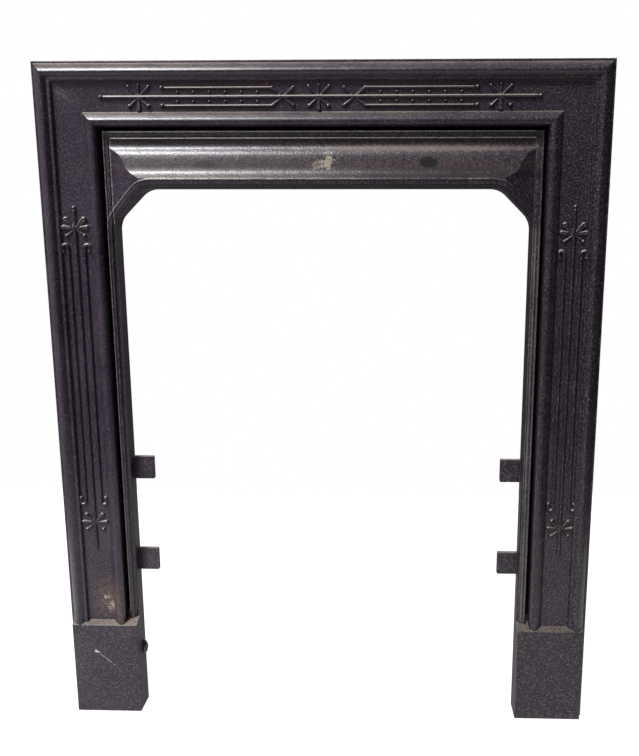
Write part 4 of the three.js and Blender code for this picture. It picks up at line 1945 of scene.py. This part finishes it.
@dataclass
class Studio:
    """The floor, the lights and the camera, in metres and degrees."""

    camera_place: Place = (0.0968, -1.0987, 0.7268)
    camera_turn: Place = (78.9893, -0.0458, 1.7348)
    focal_pixels: float = 800.0
    image_width: float = 639.0
    middle_shift_pixels: float = 50.0
    sensor: float = 36.0
    floor_size: float = 2.0
    backdrop_strength: float = 1.0
    fill_source: Place = (-0.66, -0.22, 0.72)
    fill_range: Point = (-0.35, 1.0)
    fill_strengths: Point = (0.07, 0.62)
    lamps: tuple[Lamp, ...] = (
        Lamp("key", (-0.35, -0.43, 0.82), 5.7, 12.0),
        Lamp("low", (-0.40, -0.74, 0.58), 0.7, 9.0),
        Lamp("back", (0.35, 0.80, 0.50), 2.2, 25.0),
    )

    def floor(self) -> None:
        """Lays the floor."""
        half = self.floor_size / 2
        corners = [(-half, -half, 0), (half, -half, 0), (half, half, 0), (-half, half, 0)]
        floor = Solids.from_faces("floor", corners, [(0, 1, 2, 3)])
        floor.data.materials.append(PaleFloor().material())

    def surroundings(self) -> None:
        """Makes a white backdrop, and a soft fill light that is brightest at the upper left."""
        world = bpy.data.worlds.new("studio")
        sheet = NodeSheet(world)
        seen = sheet.add("ShaderNodeBackground", Color=WHITE, Strength=self.backdrop_strength)
        fill = sheet.add("ShaderNodeBackground")
        direction = sheet.add("ShaderNodeTexCoord").outputs["Generated"]
        glow = sheet.step(sheet.along(direction, self.fill_source), *self.fill_range, *self.fill_strengths)
        sheet.link(glow, fill.inputs["Strength"])
        choice = sheet.add("ShaderNodeMixShader")
        on_camera = sheet.add("ShaderNodeLightPath").outputs["Is Camera Ray"]
        for source, target in zip((on_camera, fill.outputs[0], seen.outputs[0]), choice.inputs):
            sheet.link(source, target)
        sheet.link(choice.outputs[0], sheet.add("ShaderNodeOutputWorld").inputs["Surface"])
        bpy.context.scene.world = world
        bpy.context.scene.view_settings.view_transform = "Standard"

    def camera(self) -> None:
        """Sets the camera where the photograph was taken."""
        camera = bpy.data.cameras.new("camera")
        camera.sensor_fit = "HORIZONTAL"
        camera.sensor_width = self.sensor
        camera.lens = self.sensor * self.focal_pixels / self.image_width
        camera.shift_x = -self.middle_shift_pixels / self.image_width
        thing = bpy.data.objects.new("camera", camera)
        thing.location = self.camera_place
        thing.rotation_euler = [math.radians(angle) for angle in self.camera_turn]
        bpy.context.scene.collection.objects.link(thing)
        bpy.context.scene.camera = thing

    def build(self) -> None:
        """Sets up the whole studio."""
        self.floor()
        self.surroundings()
        self.camera()
        for lamp in self.lamps:
            lamp.hang()


def dress(thing: bpy.types.Object, material: bpy.types.Material) -> None:
    """Gives a piece its finish and ties it to the casting's body.

    Args:
        thing: The piece.
        material: Its finish.
    """
    thing.data.materials.clear()
    thing.data.materials.append(material)
    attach(thing, BODY)
    LOG.info("%s: %d faces", thing.name, len(thing.data.polygons))


def main() -> None:
    """Builds the casting, its ornament and the studio."""
    logging.basicConfig(level=logging.INFO, format="%(message)s")
    moulding = FrameMoulding()
    hood = Hood(moulding)
    opening = HearthOpening(hood)
    plinth = PlinthBlock(moulding, hood)
    back = OpenBack(moulding, hood, opening, plinth)
    flaws = CastingFlaws(hood, plinth)
    casting = SurroundCasting(moulding, hood, opening, plinth, FixingLug(hood), back, flaws).build()
    iron = BlackedIron().material()
    dress(casting, iron)
    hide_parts(NODE)
    dress(LintelOrnament(moulding).build(), iron)
    for side in (-1, 1):
        dress(JambOrnament(moulding).build(side), iron)
    Studio().build()


if __name__ == "__main__":
    main()
